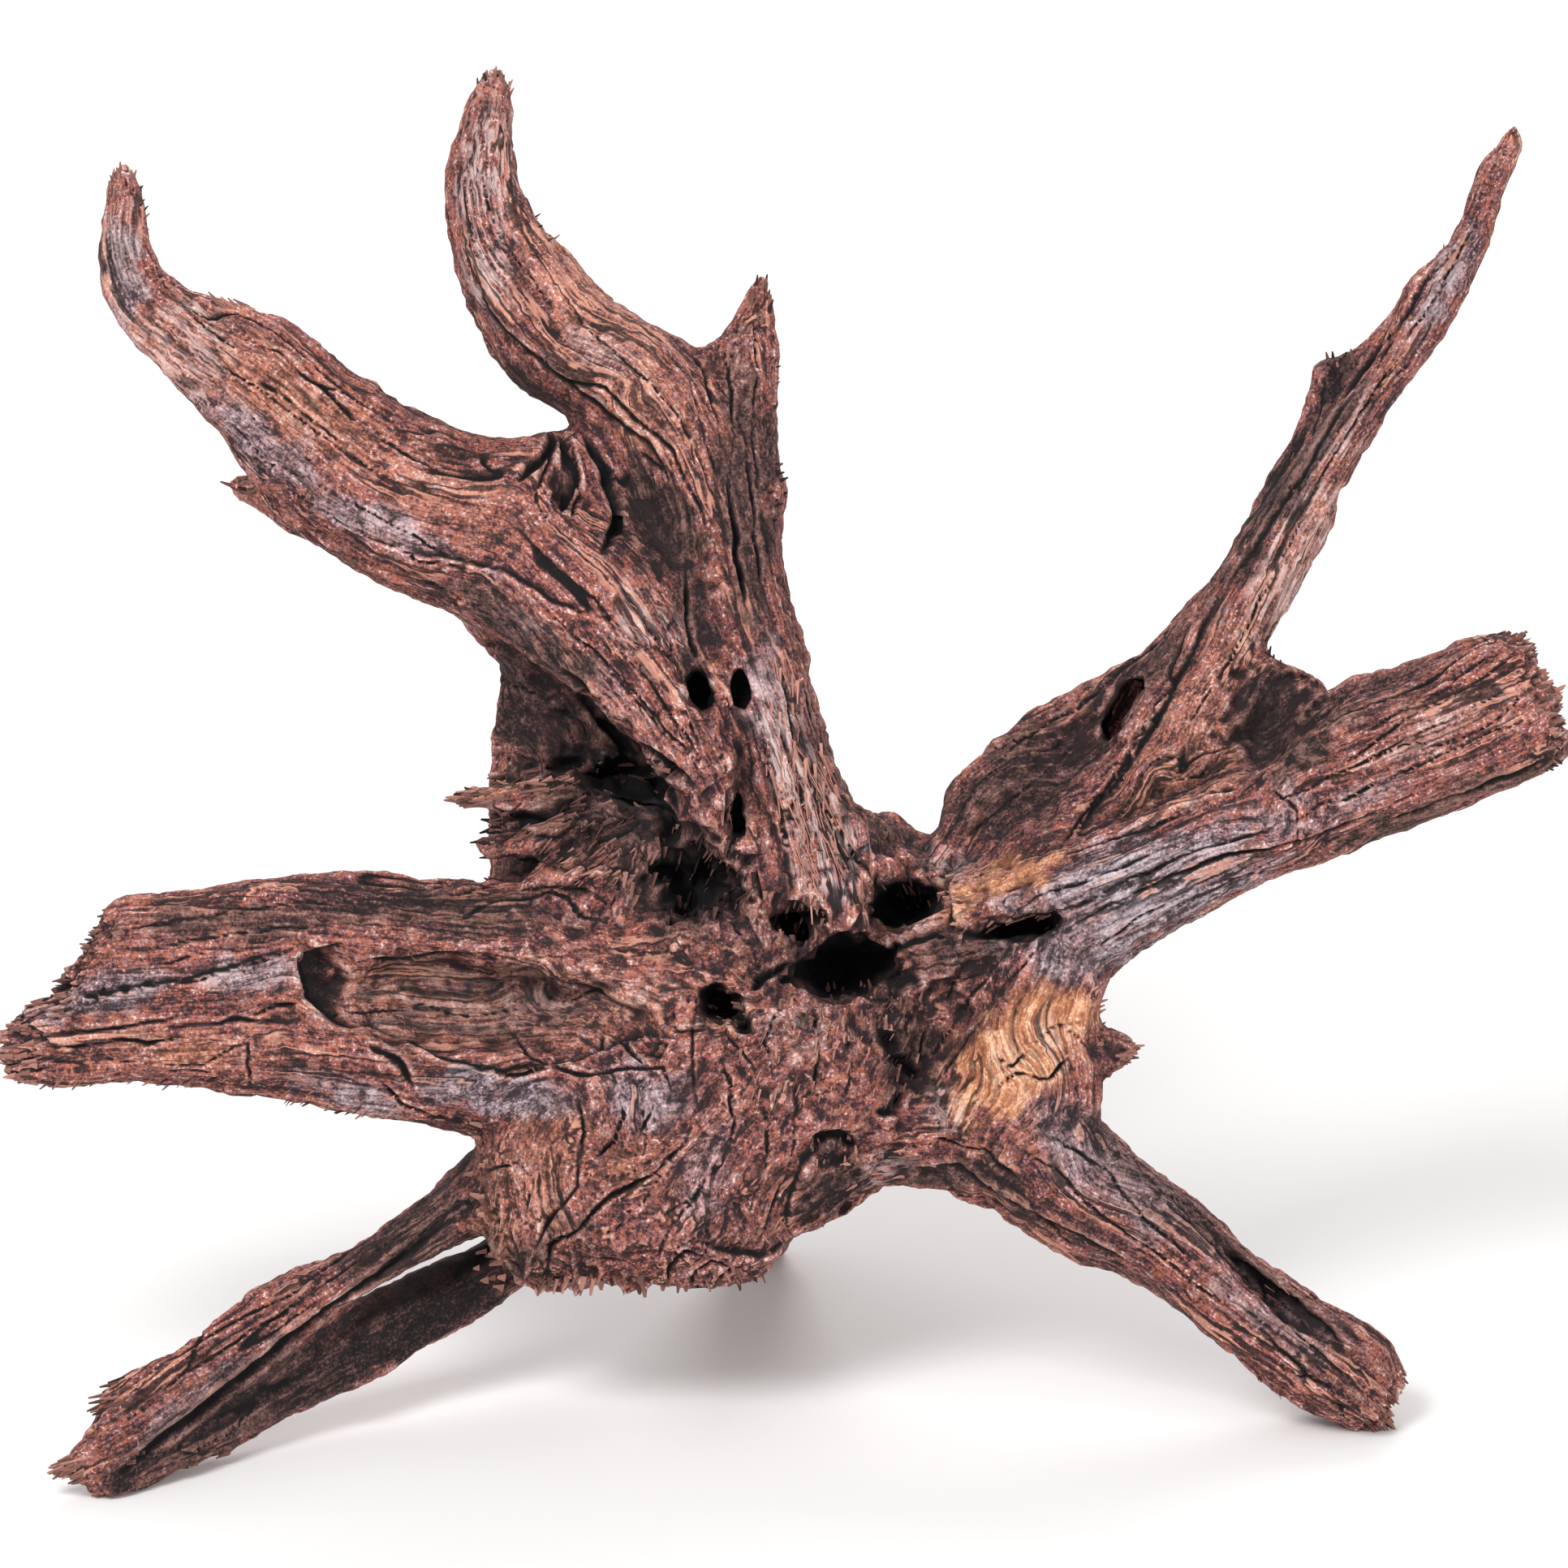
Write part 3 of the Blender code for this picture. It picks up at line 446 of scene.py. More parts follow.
        (CRACK, 2.2, 3.5, (1080, 1370, 1100, 1366, 1110, 1340)),
        (CRACK, 1.2, 1.8, (1000, 1240, 1010, 1290, 1004, 1340), (1040, 1250, 1050, 1300, 1040, 1350),
         (960, 1240, 940, 1280, 952, 1300)),
        (CRACK, 1.4, 2.0, (900, 1130, 930, 1170, 940, 1210), (930, 1060, 940, 1110, 930, 1160)),
        # the fan of ribs and the torn lip
        (CRACK, 1.2, 2.0, (1280, 1165, 1240, 1210, 1200, 1270, 1160, 1320), (1240, 1170, 1200, 1220,
          1170, 1270, 1140, 1310), (1200, 1170, 1170, 1220, 1140, 1270, 1126, 1310)),
        (RIDGE, 2.0, 1.4, (1290, 1150, 1250, 1215, 1210, 1270, 1170, 1330)),
        (CRACK, 3.0, 5.0, (1228, 1146, 1262, 1138, 1300, 1136)),
        (STEP, 2.2, 3.0, (1167, 1082, 1170, 1110, 1174, 1140, 1196, 1148, 1222, 1144, 1291, 1128)),
        (CRACK, 2.0, 3.0, (1090, 1180, 1120, 1160, 1160, 1146)),
        # the right arm
        (CRACK, 1.4, 2.0, (1291, 1124, 1328, 1114, 1397, 1077, 1471, 1050, 1567, 1018)),
        (CRACK, 1.4, 2.2, (1307, 1148, 1365, 1114, 1440, 1077, 1508, 1055, 1588, 1039, 1684, 1002,
          1737, 981)),
        (CRACK, 1.8, 3.2, (1520, 969, 1490, 976, 1450, 986, 1397, 1008)),
        (CRACK, 1.4, 2.2, (1466, 997, 1418, 1018, 1365, 1034, 1312, 1050)),
        (CRACK, 1.2, 1.6, (1562, 971, 1593, 997, 1593, 1039), (1593, 1012, 1620, 990, 1650, 984)),
        (CRACK, 1.8, 2.4, (1684, 1018, 1737, 1000, 1790, 981, 1850, 958, 1917, 930)),
        (CRACK, 1.1, 1.5, (1560, 990, 1650, 950, 1740, 905, 1850, 850), (1620, 1000, 1700, 962, 1790, 920,
          1890, 880), (1650, 940, 1740, 880, 1830, 830, 1870, 800), (1680, 900, 1760, 856, 1840, 800),
         (1340, 1180, 1400, 1130, 1480, 1090, 1560, 1070)),
        (CRACK, 1.2, 1.6, (1240, 1130, 1290, 1096, 1350, 1080, 1420, 1050)),
        # the right horn and its sail
        (CRACK, 4.0, 9.0, (1406, 838, 1386, 875, 1364, 906)),
        (STEP, 2.4, 2.2, (1312, 1045, 1349, 992, 1386, 939, 1418, 896, 1445, 843, 1482, 769, 1500, 730)),
        (CRACK, 1.2, 1.8, (1300, 1050, 1340, 1000, 1376, 950, 1404, 905)),
        (CRACK, 1.1, 1.5, (1180, 1040, 1230, 1000, 1290, 950, 1340, 900), (1210, 960, 1260, 910, 1330, 870,
          1400, 810, 1450, 770), (1460, 900, 1500, 840, 1540, 770, 1580, 690, 1620, 620), (1440, 960,
          1480, 930, 1516, 920), (1430, 944, 1452, 960, 1480, 956, 1490, 940), (1600, 640, 1660, 540,
          1720, 450, 1780, 350, 1830, 260)),
        (STEP, 2.0, 1.8, (1490, 750, 1560, 650, 1620, 560, 1670, 470, 1710, 420, 1760, 340, 1800, 300)),
        # the right leg
        (CRACK, 2.0, 4.0, (1506, 1536, 1550, 1572, 1600, 1610, 1654, 1651)),
        (CRACK, 1.2, 1.8, (1300, 1400, 1360, 1440, 1410, 1500, 1480, 1560), (1240, 1404, 1300, 1440,
          1350, 1490, 1420, 1540, 1500, 1600), (1150, 1400, 1210, 1416, 1250, 1450)),
        (CRACK, 1.2, 1.6, (1460, 1570, 1540, 1630, 1610, 1690, 1680, 1740), (1400, 1450, 1470, 1510,
          1560, 1600, 1640, 1680, 1700, 1720)),
        (STEP, 2.4, 2.2, (1120, 1440, 1180, 1430, 1230, 1470, 1290, 1500, 1370, 1540, 1440, 1590)),
        # the fresh break on the right root
        (CRACK, 1.2, 2.0, (1268, 1284, 1300, 1262, 1340, 1254), (1220, 1345, 1250, 1320, 1290, 1330,
          1316, 1300)),
        (CRACK, 1.2, 1.6, (1226, 1300, 1246, 1310, 1260, 1296), (1300, 1262, 1322, 1272, 1338, 1290)),
        # the left legs
        (CRACK, 2.2, 3.5, (560, 1500, 480, 1560, 400, 1620, 320, 1680, 240, 1740, 150, 1810)),
        (CRACK, 1.1, 1.5, (560, 1450, 460, 1520, 360, 1590, 260, 1640, 170, 1700), (540, 1490, 440, 1556,
          340, 1620, 240, 1680, 150, 1740)),
    )
    for points in paths
)


@dataclass(frozen=True)
class Swirl:
    """A knot that the grain curls round, in the photograph's pixels."""

    x: float
    y: float
    radius: float
    turn: float  # radians at its middle


SWIRLS = tuple(
    Swirl(*row)
    for row in (
        (745, 1370, 95, 1.5), (860, 1470, 90, -0.7), (668, 1216, 34, 1.8), (1590, 1000, 44, -1.2),
        (720, 1075, 70, 0.9), (700, 590, 60, 0.9), (1290, 960, 90, 0.8), (1270, 1300, 60, -0.9),
        (1010, 1300, 80, 0.8), (640, 900, 70, -0.8), (390, 1215, 50, 0.8), (1330, 1420, 60, 0.7),
        (880, 1120, 60, 1.0), (360, 620, 26, 1.4), (770, 486, 24, 1.2), (1440, 950, 36, 1.2),
    )
)


@dataclass(frozen=True)
class Nudge:
    """A soft pull on the outline: where, how far round it reaches, and how far it moves, in pixels."""

    x: float
    y: float
    radius: float
    right: float
    down: float


NUDGES = tuple(
    Nudge(*row)
    for row in (
        (1400, 1190, 90, 0, -9), (1500, 1130, 90, -2, -9), (1620, 1080, 90, -2, -7),
        (1740, 1030, 90, -2, -5), (1860, 985, 70, -2, -5), (1575, 830, 50, -6, -14),
        (1640, 850, 50, 0, -12), (1895, 790, 40, -8, 10), (135, 1110, 60, -22, -12),
        (30, 1250, 60, -12, -8), (10, 1330, 50, -10, 4), (450, 1072, 110, 0, -8), (620, 905, 70, -14, 0),
        (620, 1010, 50, -8, 0), (250, 560, 70, 10, -10), (430, 520, 70, 4, -8), (520, 545, 60, 0, -8),
        (670, 528, 44, 12, -12), (370, 655, 90, -4, 8), (480, 710, 80, -4, 8), (580, 780, 60, -8, 4),
        (280, 1085, 130, 0, -5), (1350, 1235, 50, 10, 0), (1372, 1380, 40, 8, -4), (360, 1600, 130, -4, -7),
        (1035, 950, 44, -9, 0), (1752, 345, 32, -12, -8), (1640, 450, 30, -14, -8), (1668, 560, 50, -6, 0),
        (1622, 690, 40, -5, 0), (960, 605, 22, 9, 0), (568, 200, 60, -6, 0), (634, 470, 54, -7, 5),
        (360, 1362, 50, 0, -6), (1862, 172, 20, 0, 8), (130, 250, 60, 6, 0), (600, 110, 40, -6, 0),
        (975, 720, 70, -8, 0), (1004, 850, 70, -2, 0), (1130, 1045, 50, 4, 12), (1480, 775, 60, -6, -8),
        (1300, 870, 70, -4, -6), (760, 1600, 80, 0, -14), (860, 1610, 60, 0, -8), (380, 1700, 110, -3, -12),
        (520, 1640, 90, -3, -12), (270, 1770, 80, -3, -9), (160, 1700, 60, -8, -12), (1560, 1470, 90, 0, 1),
        (1640, 1560, 80, -2, 4), (1480, 1620, 80, -4, 9), (1580, 1710, 80, -6, 10), (1740, 1700, 50, -8, 0),
    )
)


@dataclass(frozen=True)
class Ellipse:
    """An ellipse on the front, in the photograph's pixels."""

    x: float
    y: float
    half_x: float
    half_y: float
    turn: float  # degrees, clockwise as seen

    def measure(self, spots: np.ndarray) -> tuple[np.ndarray, np.ndarray]:
        """How far along and across the ellipse spots lie, 1 being its rim.

        Args:
            spots: pixels of the photograph's frame.

        Returns:
            How far along and how far across, for each spot.
        """
        turn = math.radians(self.turn)
        offset = spots - (self.x, self.y)
        along = offset[:, 0] * math.cos(turn) + offset[:, 1] * math.sin(turn)
        across = -offset[:, 0] * math.sin(turn) + offset[:, 1] * math.cos(turn)
        return along / self.half_x, across / self.half_y


@dataclass(frozen=True)
class Pit(Ellipse):
    """A hollow with a ragged rim that is sunk into the front."""

    depth: float  # mm


PITS = tuple(
    Pit(*row)
    for row in (
        (1576, 884, 66, 62, 0, 4.0), (770, 962, 80, 30, 24, 6.0), (700, 944, 50, 14, 0, 4.0),
        (856, 1085, 56, 46, 0, 6.0), (1110, 1112, 48, 32, -10, 6.0), (1052, 1196, 70, 36, 8, 6.0),
        (978, 1140, 22, 24, 0, 5.0), (886, 1238, 22, 20, 20, 5.0), (1262, 1140, 46, 9, -6, 5.0),
        (1386, 876, 13, 48, 30, 6.0), (600, 1236, 210, 52, -2, 1.6), (820, 655, 42, 84, -30, 2.0),
        (1105, 1272, 20, 64, -28, 4.5), (1024, 1420, 34, 18, -10, 2.5), (1026, 1468, 50, 26, -40, 3.5),
        (1190, 1200, 90, 30, -24, 3.0), (650, 860, 40, 90, -34, 1.6), (640, 1010, 60, 10, -6, 4.0),
        (720, 1040, 70, 16, -24, 3.5), (404, 1212, 26, 44, -24, 4.0), (906, 1090, 14, 40, 0, 5.0),
        (1290, 940, 120, 20, -42, 2.0), (1500, 1530, 190, 8, 41, 3.0),
    )
)


class Tone(Enum):
    """A colour that the weather or a break has given part of the wood, or painted shade."""

    SILVER = "silver"  # lilac-grey, bleached by water
    TORN = "torn"  # orange-tan, freshly broken
    PALE = "pale"  # pinkish fibres, rubbed bare
    SHADE = "shade"  # dull grey-brown: painted shade on the parts that lie in shade in front, and random drifts of it behind
    BLACK_SHADE = "black_shade"  # nearly black painted shade inside the holes and slits and under the left leg
    WARM = "warm"  # clear red-brown, worn smooth


@dataclass(frozen=True)
class Patch(Ellipse):
    """A soft-edged ellipse of one tone."""

    strength: float
    tone: Tone


SILVER, TORN, PALE, SHADE, BLACK_SHADE, WARM = Tone
PATCHES = tuple(
    Patch(*row, tone)
    for tone, rows in (
        (
            WARM,
            (
                (745, 420, 170, 50, 56, 0.8), (330, 480, 200, 50, 33, 0.7), (560, 620, 120, 50, 30, 0.5),
                (600, 1235, 220, 52, 0, 1.0), (1476, 900, 60, 60, 0, 0.8), (1590, 690, 210, 34, -62, 0.9),
                (640, 1470, 50, 90, 0, 0.6), (800, 1430, 70, 60, 0, 0.4), (250, 1290, 140, 30, 0, 0.6),
                (1790, 885, 120, 34, -25, 0.5), (890, 520, 40, 100, 0, 0.4), (720, 880, 160, 24, 40, 0.4),
                (1200, 1190, 40, 80, 30, 0.3), (1400, 1420, 120, 20, 40, 0.2),
            ),
        ),
        (
            SILVER,
            (
                (1390, 1090, 200, 54, -22, 1.0), (1440, 1130, 140, 34, -28, 0.9),
                (1620, 1010, 110, 22, -24, 0.5), (1330, 1180, 60, 40, -30, 0.7),
                (1360, 1435, 130, 45, 38, 0.7), (1560, 1610, 110, 22, 40, 0.5),
                (130, 1225, 100, 28, -10, 0.8), (310, 1205, 60, 22, -4, 0.7), (430, 1345, 70, 22, 20, 0.7),
                (625, 1345, 100, 24, 8, 0.9), (790, 1350, 60, 45, 20, 0.7), (870, 1440, 40, 70, 15, 0.45),
                (950, 860, 30, 110, -6, 0.6), (330, 555, 90, 30, 38, 0.7), (480, 650, 120, 22, 24, 0.6),
                (155, 340, 26, 90, -10, 0.7), (740, 440, 50, 30, 35, 0.45), (1760, 900, 100, 22, -26, 0.35),
                (1600, 720, 40, 120, 28, 0.3), (1790, 340, 22, 110, 28, 0.7),
                (250, 1720, 120, 16, -36, 0.5),
            ),
        ),
        (
            # painted shade: the parts that lie in shade
            SHADE,
            (
                (1800, 330, 16, 90, 28, 0.3), (650, 850, 70, 100, -30, 1.0), (600, 745, 70, 20, 32, 0.9),
                (750, 985, 110, 70, 10, 0.7), (840, 1080, 90, 80, 0, 0.75), (815, 650, 44, 80, -32, 0.95),
                (855, 760, 22, 80, 0, 0.7), (640, 490, 36, 60, -50, 0.7), (918, 600, 34, 200, -3, 0.75),
                (952, 560, 20, 90, 0, 0.8), (1000, 900, 14, 140, -8, 0.6), (1086, 1020, 50, 24, 30, 0.7),
                (350, 1130, 250, 26, -4, 0.72), (560, 1120, 160, 34, 4, 0.72), (500, 1300, 60, 16, 34, 0.5),
                (960, 1160, 80, 50, 0, 0.5), (1180, 1170, 90, 40, -20, 0.6), (1105, 1270, 40, 90, -25, 0.7),
                (1020, 1470, 60, 34, -40, 0.8), (910, 1520, 70, 40, -10, 0.4), (1580, 890, 62, 66, 0, 1.0),
                (1700, 850, 110, 30, -26, 0.6), (1260, 960, 130, 70, -38, 0.75),
                (1390, 1470, 150, 20, 42, 0.45), (300, 1640, 180, 20, -36, 0.3),
                (1400, 830, 110, 34, -42, 0.7), (1590, 600, 24, 190, 33, 0.9), (1650, 450, 30, 40, 0, 0.9),
                (1780, 990, 190, 16, -24, 0.8), (1500, 1520, 240, 26, 40, 0.75),
                (1290, 1500, 150, 22, 28, 0.6), (1600, 1660, 120, 20, 42, 0.5),
                (1190, 1440, 110, 18, 0, 0.8), (1380, 1300, 26, 30, 0, 0.5), (430, 1665, 330, 56, -29, 1.0),
                (560, 1606, 110, 56, -32, 1.0), (300, 1740, 190, 34, -30, 0.8),
                (510, 1520, 120, 50, -35, 0.9), (200, 1780, 130, 20, -33, 0.7),
                (350, 1610, 200, 26, -36, 0.35),
            ),
        ),
        (
            TORN,
            (
                (1250, 1300, 95, 55, -38, 1.0), (1320, 1245, 40, 26, -10, 0.9),
                (1240, 1078, 80, 20, -20, 0.9), (1182, 1112, 18, 34, 0, 0.9), (690, 1400, 55, 60, 10, 0.34),
                (620, 1530, 40, 70, -10, 0.4), (760, 1440, 60, 30, -30, 0.35), (250, 1300, 60, 20, 0, 0.4),
                (360, 480, 130, 50, 34, 0.32), (800, 560, 60, 22, 40, 0.3), (1450, 980, 70, 26, -24, 0.4),
                (640, 970, 60, 10, -8, 0.5),
            ),
        ),
        (
            PALE,
            (
                (1006, 1010, 44, 120, -12, 0.8), (970, 920, 30, 110, -6, 0.65),
                (800, 765, 34, 50, -40, 0.7), (600, 320, 34, 70, -6, 0.7), (600, 200, 40, 90, 4, 0.6),
                (1590, 700, 50, 110, 28, 0.6), (1640, 560, 30, 110, 30, 0.5), (230, 440, 60, 70, 40, 0.5),
                (150, 300, 26, 60, 0, 0.4), (1270, 1300, 60, 40, -30, 0.4), (590, 292, 26, 9, 0, 0.9),
                (1160, 1360, 30, 26, 0, 0.8), (1080, 1440, 40, 16, -20, 0.6), (1170, 1070, 40, 20, 0, 0.6),
                (985, 1260, 50, 30, 0, 0.4), (640, 760, 70, 12, 30, 0.4), (760, 860, 90, 14, 40, 0.35),
                (610, 1228, 210, 46, 0, 0.36),
            ),
        ),
        (
            # painted shade, nearly black: in the holes and slits and under the left leg
            BLACK_SHADE,
            (
                (770, 965, 70, 26, 20, 0.95), (700, 950, 50, 18, 0, 0.8), (856, 1085, 50, 44, 0, 0.85),
                (1110, 1114, 44, 30, -10, 1.0), (1055, 1198, 62, 36, 8, 1.0), (978, 1140, 20, 22, 0, 0.95),
                (886, 1236, 18, 18, 0, 0.95), (1100, 1290, 18, 50, -30, 0.7), (1266, 1140, 40, 10, -6, 0.9),
                (395, 1215, 20, 46, -20, 0.75), (520, 1626, 140, 42, -31, 0.85),
                (330, 1716, 160, 12, -31, 0.7), (180, 1800, 60, 10, -33, 0.8), (1024, 1420, 30, 18, 0, 0.9),
                (940, 700, 12, 80, 0, 0.4), (1640, 470, 16, 34, 30, 0.7), (1576, 600, 10, 90, 30, 0.6),
                (1386, 876, 12, 46, 30, 0.9),
            ),
        ),
    )
    for row in rows
)


HEART_STEP = 3.0  # mm between two places on a limb's heart line
SHARPNESS = 3.5  # how quickly one limb's grain gives way to the next
LEAST_WEIGHT = 0.03
APART = np.array((37.0, 11.0, 23.0))  # mm that keep two limbs' patterns from matching


class Grain:
    """Which limbs a place belongs to, and where it lies along and across each."""

    def __init__(self, points: np.ndarray) -> None:
        """Measures every point against every limb.

        Args:
            points: drawing millimetres, one row each.
        """
        self.count = len(points)
        measures = [self.measure(points, limb) for limb in LIMBS]
        shares, self.places, self.tangents, self.radii, self.ends = zip(*measures)
        self.shares = np.array(shares)
        self.weights = np.exp(-SHARPNESS * (self.shares - self.shares.min(axis=0)))
        self.weights[self.weights < LEAST_WEIGHT] = 0.0
        self.weights /= self.weights.sum(axis=0)

    @staticmethod
    def measure(
        points: np.ndarray, limb: Limb
    ) -> tuple[np.ndarray, np.ndarray, np.ndarray, np.ndarray, float]:
        """Places the points against one limb.

        Args:
            points: drawing millimetres.
            limb: the limb.

        Returns:
            The squared distance in limb radii, the place (along, sideways, outwards) in mm, the limb's
            direction, its radius there, and its length.
        """
        along, line = limb.line(HEART_STEP)
        axes = limb.axes(line)
        points32 = points.astype(np.float32)
        best = np.full(len(points), np.inf, np.float32)
        at = np.zeros(len(points), np.int32)
        for i, (x, y, z, radius) in enumerate(line.astype(np.float32)):
            gap = ((points32 - np.array((x, y, z), np.float32)) ** 2).sum(axis=1) / radius**2
            nearer = gap < best
            best[nearer] = gap[nearer]
            at[nearer] = i
        step = along[1]
        ahead = ((points - line[at, :3]) * axes[at, 0]).sum(axis=1)
        spot = at + np.clip(ahead / step, -1.0, 1.0)
        low = np.clip(np.floor(spot).astype(int), 0, len(along) - 2)
        t = (np.clip(spot, 0.0, len(along) - 1.0) - low)[:, None]
        centre = line[low, :3] * (1 - t) + line[low + 1, :3] * t
        axis = axes[low] * (1 - t[:, :, None]) + axes[low + 1] * t[:, :, None]
        offset = points - centre
        sideways, outwards = (offset * axis[:, 1]).sum(axis=1), (offset * axis[:, 2]).sum(axis=1)
        place = np.column_stack((along[at] + ahead, sideways, outwards))
        return best, place, axis[:, 0], line[at, 3], along[-1]

    def blend(self, height: Callable[[np.ndarray, int], np.ndarray]) -> np.ndarray:
        """Adds up a height of the grain over the limbs, by how near each is.

        Args:
            height: takes places and the limb's number, and gives a height for each place.

        Returns:
            The blended height of every point.
        """
        total = np.zeros(self.count)
        for number in range(len(LIMBS)):
            here = self.weights[number] > 0.0
            if here.any():
                total[here] += self.weights[number][here] * height(self.places[number][here], number)
        return total

    def leaders(self) -> tuple[np.ndarray, np.ndarray, np.ndarray]:
        """The two nearest limbs' places, and how far the second one counts.

        Returns:
            The nearest limb's place, the second one's, and a share from 0 to 0.5.
        """
        first, second = np.argsort(self.shares, axis=0)[:2]
        rows = np.arange(self.count)
        every = np.array(self.places)
        weight = self.weights[second, rows] / (self.weights[first, rows] + self.weights[second, rows])
        leading, following = (every[limb, rows] + limb[:, None] * APART for limb in (first, second))
        return leading, following, weight


@dataclass(frozen=True)
class Carving:
    """How the grain stands out, in mm."""

    ridge_pitch: float = 5.5
    ridge_length: float = 70.0
    ridge_height: float = 0.5
    fibre_pitch: float = 2.2
    fibre_length: float = 38.0
    fibre_height: float = 0.28
    split_pitch: float = 8.0
    split_length: float = 110.0
    split_width: float = 0.055  # share of a pitch
    split_depth: float = 1.5
    knob_size: float = 3.0
    knob_height: float = 0.35
    warp: float = 1.6  # how far the grain wanders sideways
    warp_length: float = 24.0
    swell_height: float = 0.5
    swell_size: tuple = (45.0, 9.0, 9.0)
    gate_size: tuple = (34.0, 12.0, 12.0)  # where splits open, and where the grain stays shut
    pore_size: float = 1.9
    pore_height: float = 0.25
    full_radius: float = 14.0  # a slimmer limb's grain is carved less
    full_line_radius: float = 9.0  # and so are the lines on it

    def wander(self, places: np.ndarray, number: int) -> np.ndarray:
        """Lets the fibres wander to the side as they run on."""
        shake = places / self.warp_length + number * 1.7
        sway = np.column_stack((np.zeros(len(places)), columns(shake, 21, 22)))
        return places + self.warp * sway

    def skin(self, places: np.ndarray, number: int) -> np.ndarray:
        """The height of ridges and fibres.

        Args:
            places: along, sideways and outwards in mm.
            number: the limb's number.

        Returns:
            The height in mm.
        """
        p = self.wander(places, number)
        ridge = (self.ridge_length, self.ridge_pitch, self.ridge_pitch)
        fibre = (self.fibre_length, self.fibre_pitch, self.fibre_pitch)
        ridges = smoothstep(0.0, 0.32, np.abs(lattice_noise(p / ridge + number * 3.7, 3)))
        fibres = smoothstep(0.0, 0.4, np.abs(lattice_noise(p / fibre + number * 5.1, 4)))
        swell = lattice_noise(p / self.swell_size + number * 1.3, 5)
        fine = self.ridge_height * (ridges - 0.75) + self.fibre_height * (fibres - 0.7)
        return LIMBS[number].carving * (fine + self.swell_height * swell)

    def splits(self, places: np.ndarray, number: int) -> np.ndarray:
        """1 in the long thin splits between the fibres, and 0 beside them.

        Args:
            places: along, sideways and outwards in mm.
            number: the limb's number.

        Returns:
            A number from 0 to 1.
        """
        p = self.wander(places, number)
        size = (self.split_length, self.split_pitch, self.split_pitch)
        line = np.abs(lattice_noise(p / size + number * 2.3, 6))
        gate = smoothstep(0.05, 0.3, lattice_noise(p / self.gate_size + number * 4.1, 7))
        return (1.0 - smoothstep(0.0, self.split_width, line)) * gate


def smoothed(values: np.ndarray, edges: np.ndarray, rounds: int) -> np.ndarray:
    """Averages values with their neighbours.

    Args:
        values: one row for each vertex.
        edges: pairs of vertex numbers.
        rounds: how often.

    Returns:
        The averaged values.
    """
    a, b = edges.T
    count = len(values)
    degree = np.bincount(a, minlength=count) + np.bincount(b, minlength=count)
    flat = values.reshape(count, -1).astype(float)
    for _ in range(rounds):
        total = np.empty_like(flat)
        for column in range(flat.shape[1]):
            v = flat[:, column]
            total[:, column] = np.bincount(a, v[b], count) + np.bincount(b, v[a], count)
        flat = 0.5 * flat + 0.5 * total / degree[:, None]
    return flat.reshape(values.shape)


def seen_from(points: np.ndarray, towards: np.ndarray, cell: float, give: float) -> np.ndarray:
    """Which points nothing hides, looking at the wood from far away.

    Args:
        points: millimetres.
        towards: the direction from the wood to the eye.
        cell: mm, the mesh of the sieve that the points are sorted through.
        give: mm that a point may lie behind the foremost one in its cell.

    Returns:
        True for each point that is seen.
    """
    side = np.cross(towards, (0.31, 0.62, 0.72))
    side /= np.linalg.norm(side)
    up = np.cross(side, towards)
    across = np.floor(points @ side / cell).astype(int)
    over = np.floor(points @ up / cell).astype(int)
    across -= across.min()
    over -= over.min()
    key = across * (over.max() + 1) + over
    depth = points @ towards
    front = np.full(key.max() + 1, -np.inf)
    np.maximum.at(front, key, depth)
    return depth > front[key] - give


@dataclass
class Skin:
    """The wood's surface as numbers, in drawing millimetres, while it is carved."""

    points: np.ndarray
    normals: np.ndarray
    edges: np.ndarray
    sieve: float = 1.6  # mm
    give: float = 3.0  # mm
    grazing: float = 0.05  # a direction that only grazes a point isn't asked

    @classmethod
    def of(cls, mesh: bpy.types.Mesh) -> "Skin":
        """Reads a mesh."""
        edges = np.empty(len(mesh.edges) * 2, np.int32)
        mesh.edges.foreach_get("vertices", edges)
        return cls(read_points(mesh), read_normals(mesh), edges.reshape(-1, 2))

    def openness(self, directions: int) -> np.ndarray:
        """How much of the sky over each point is open, from 0 in a deep hole to 1 on an open face.

        Args:
            directions: how many ways each point looks.

        Returns:
            A number from 0 to 1 for each point.
        """
        seen = np.zeros(len(self.points))
        total = np.full(len(self.points), 1e-6)
        golden = math.pi * (3.0 - math.sqrt(5.0))
        for k in range(directions):
            height = 1.0 - (2.0 * k + 1.0) / directions
            ring = math.sqrt(1.0 - height * height)
            towards = np.array((ring * math.cos(golden * k), ring * math.sin(golden * k), height))
            facing = self.normals @ towards
            here = facing > self.grazing
            total[here] += facing[here]
            seen[here] += (facing * seen_from(self.points, towards, self.sieve, self.give))[here]
        return seen / total

    def hollowness(self, rounds: int) -> np.ndarray:
        """How deep each point lies under its smoothed surroundings, in mm."""
        return ((smoothed(self.points, self.edges, rounds) - self.points) * self.normals).sum(axis=1)


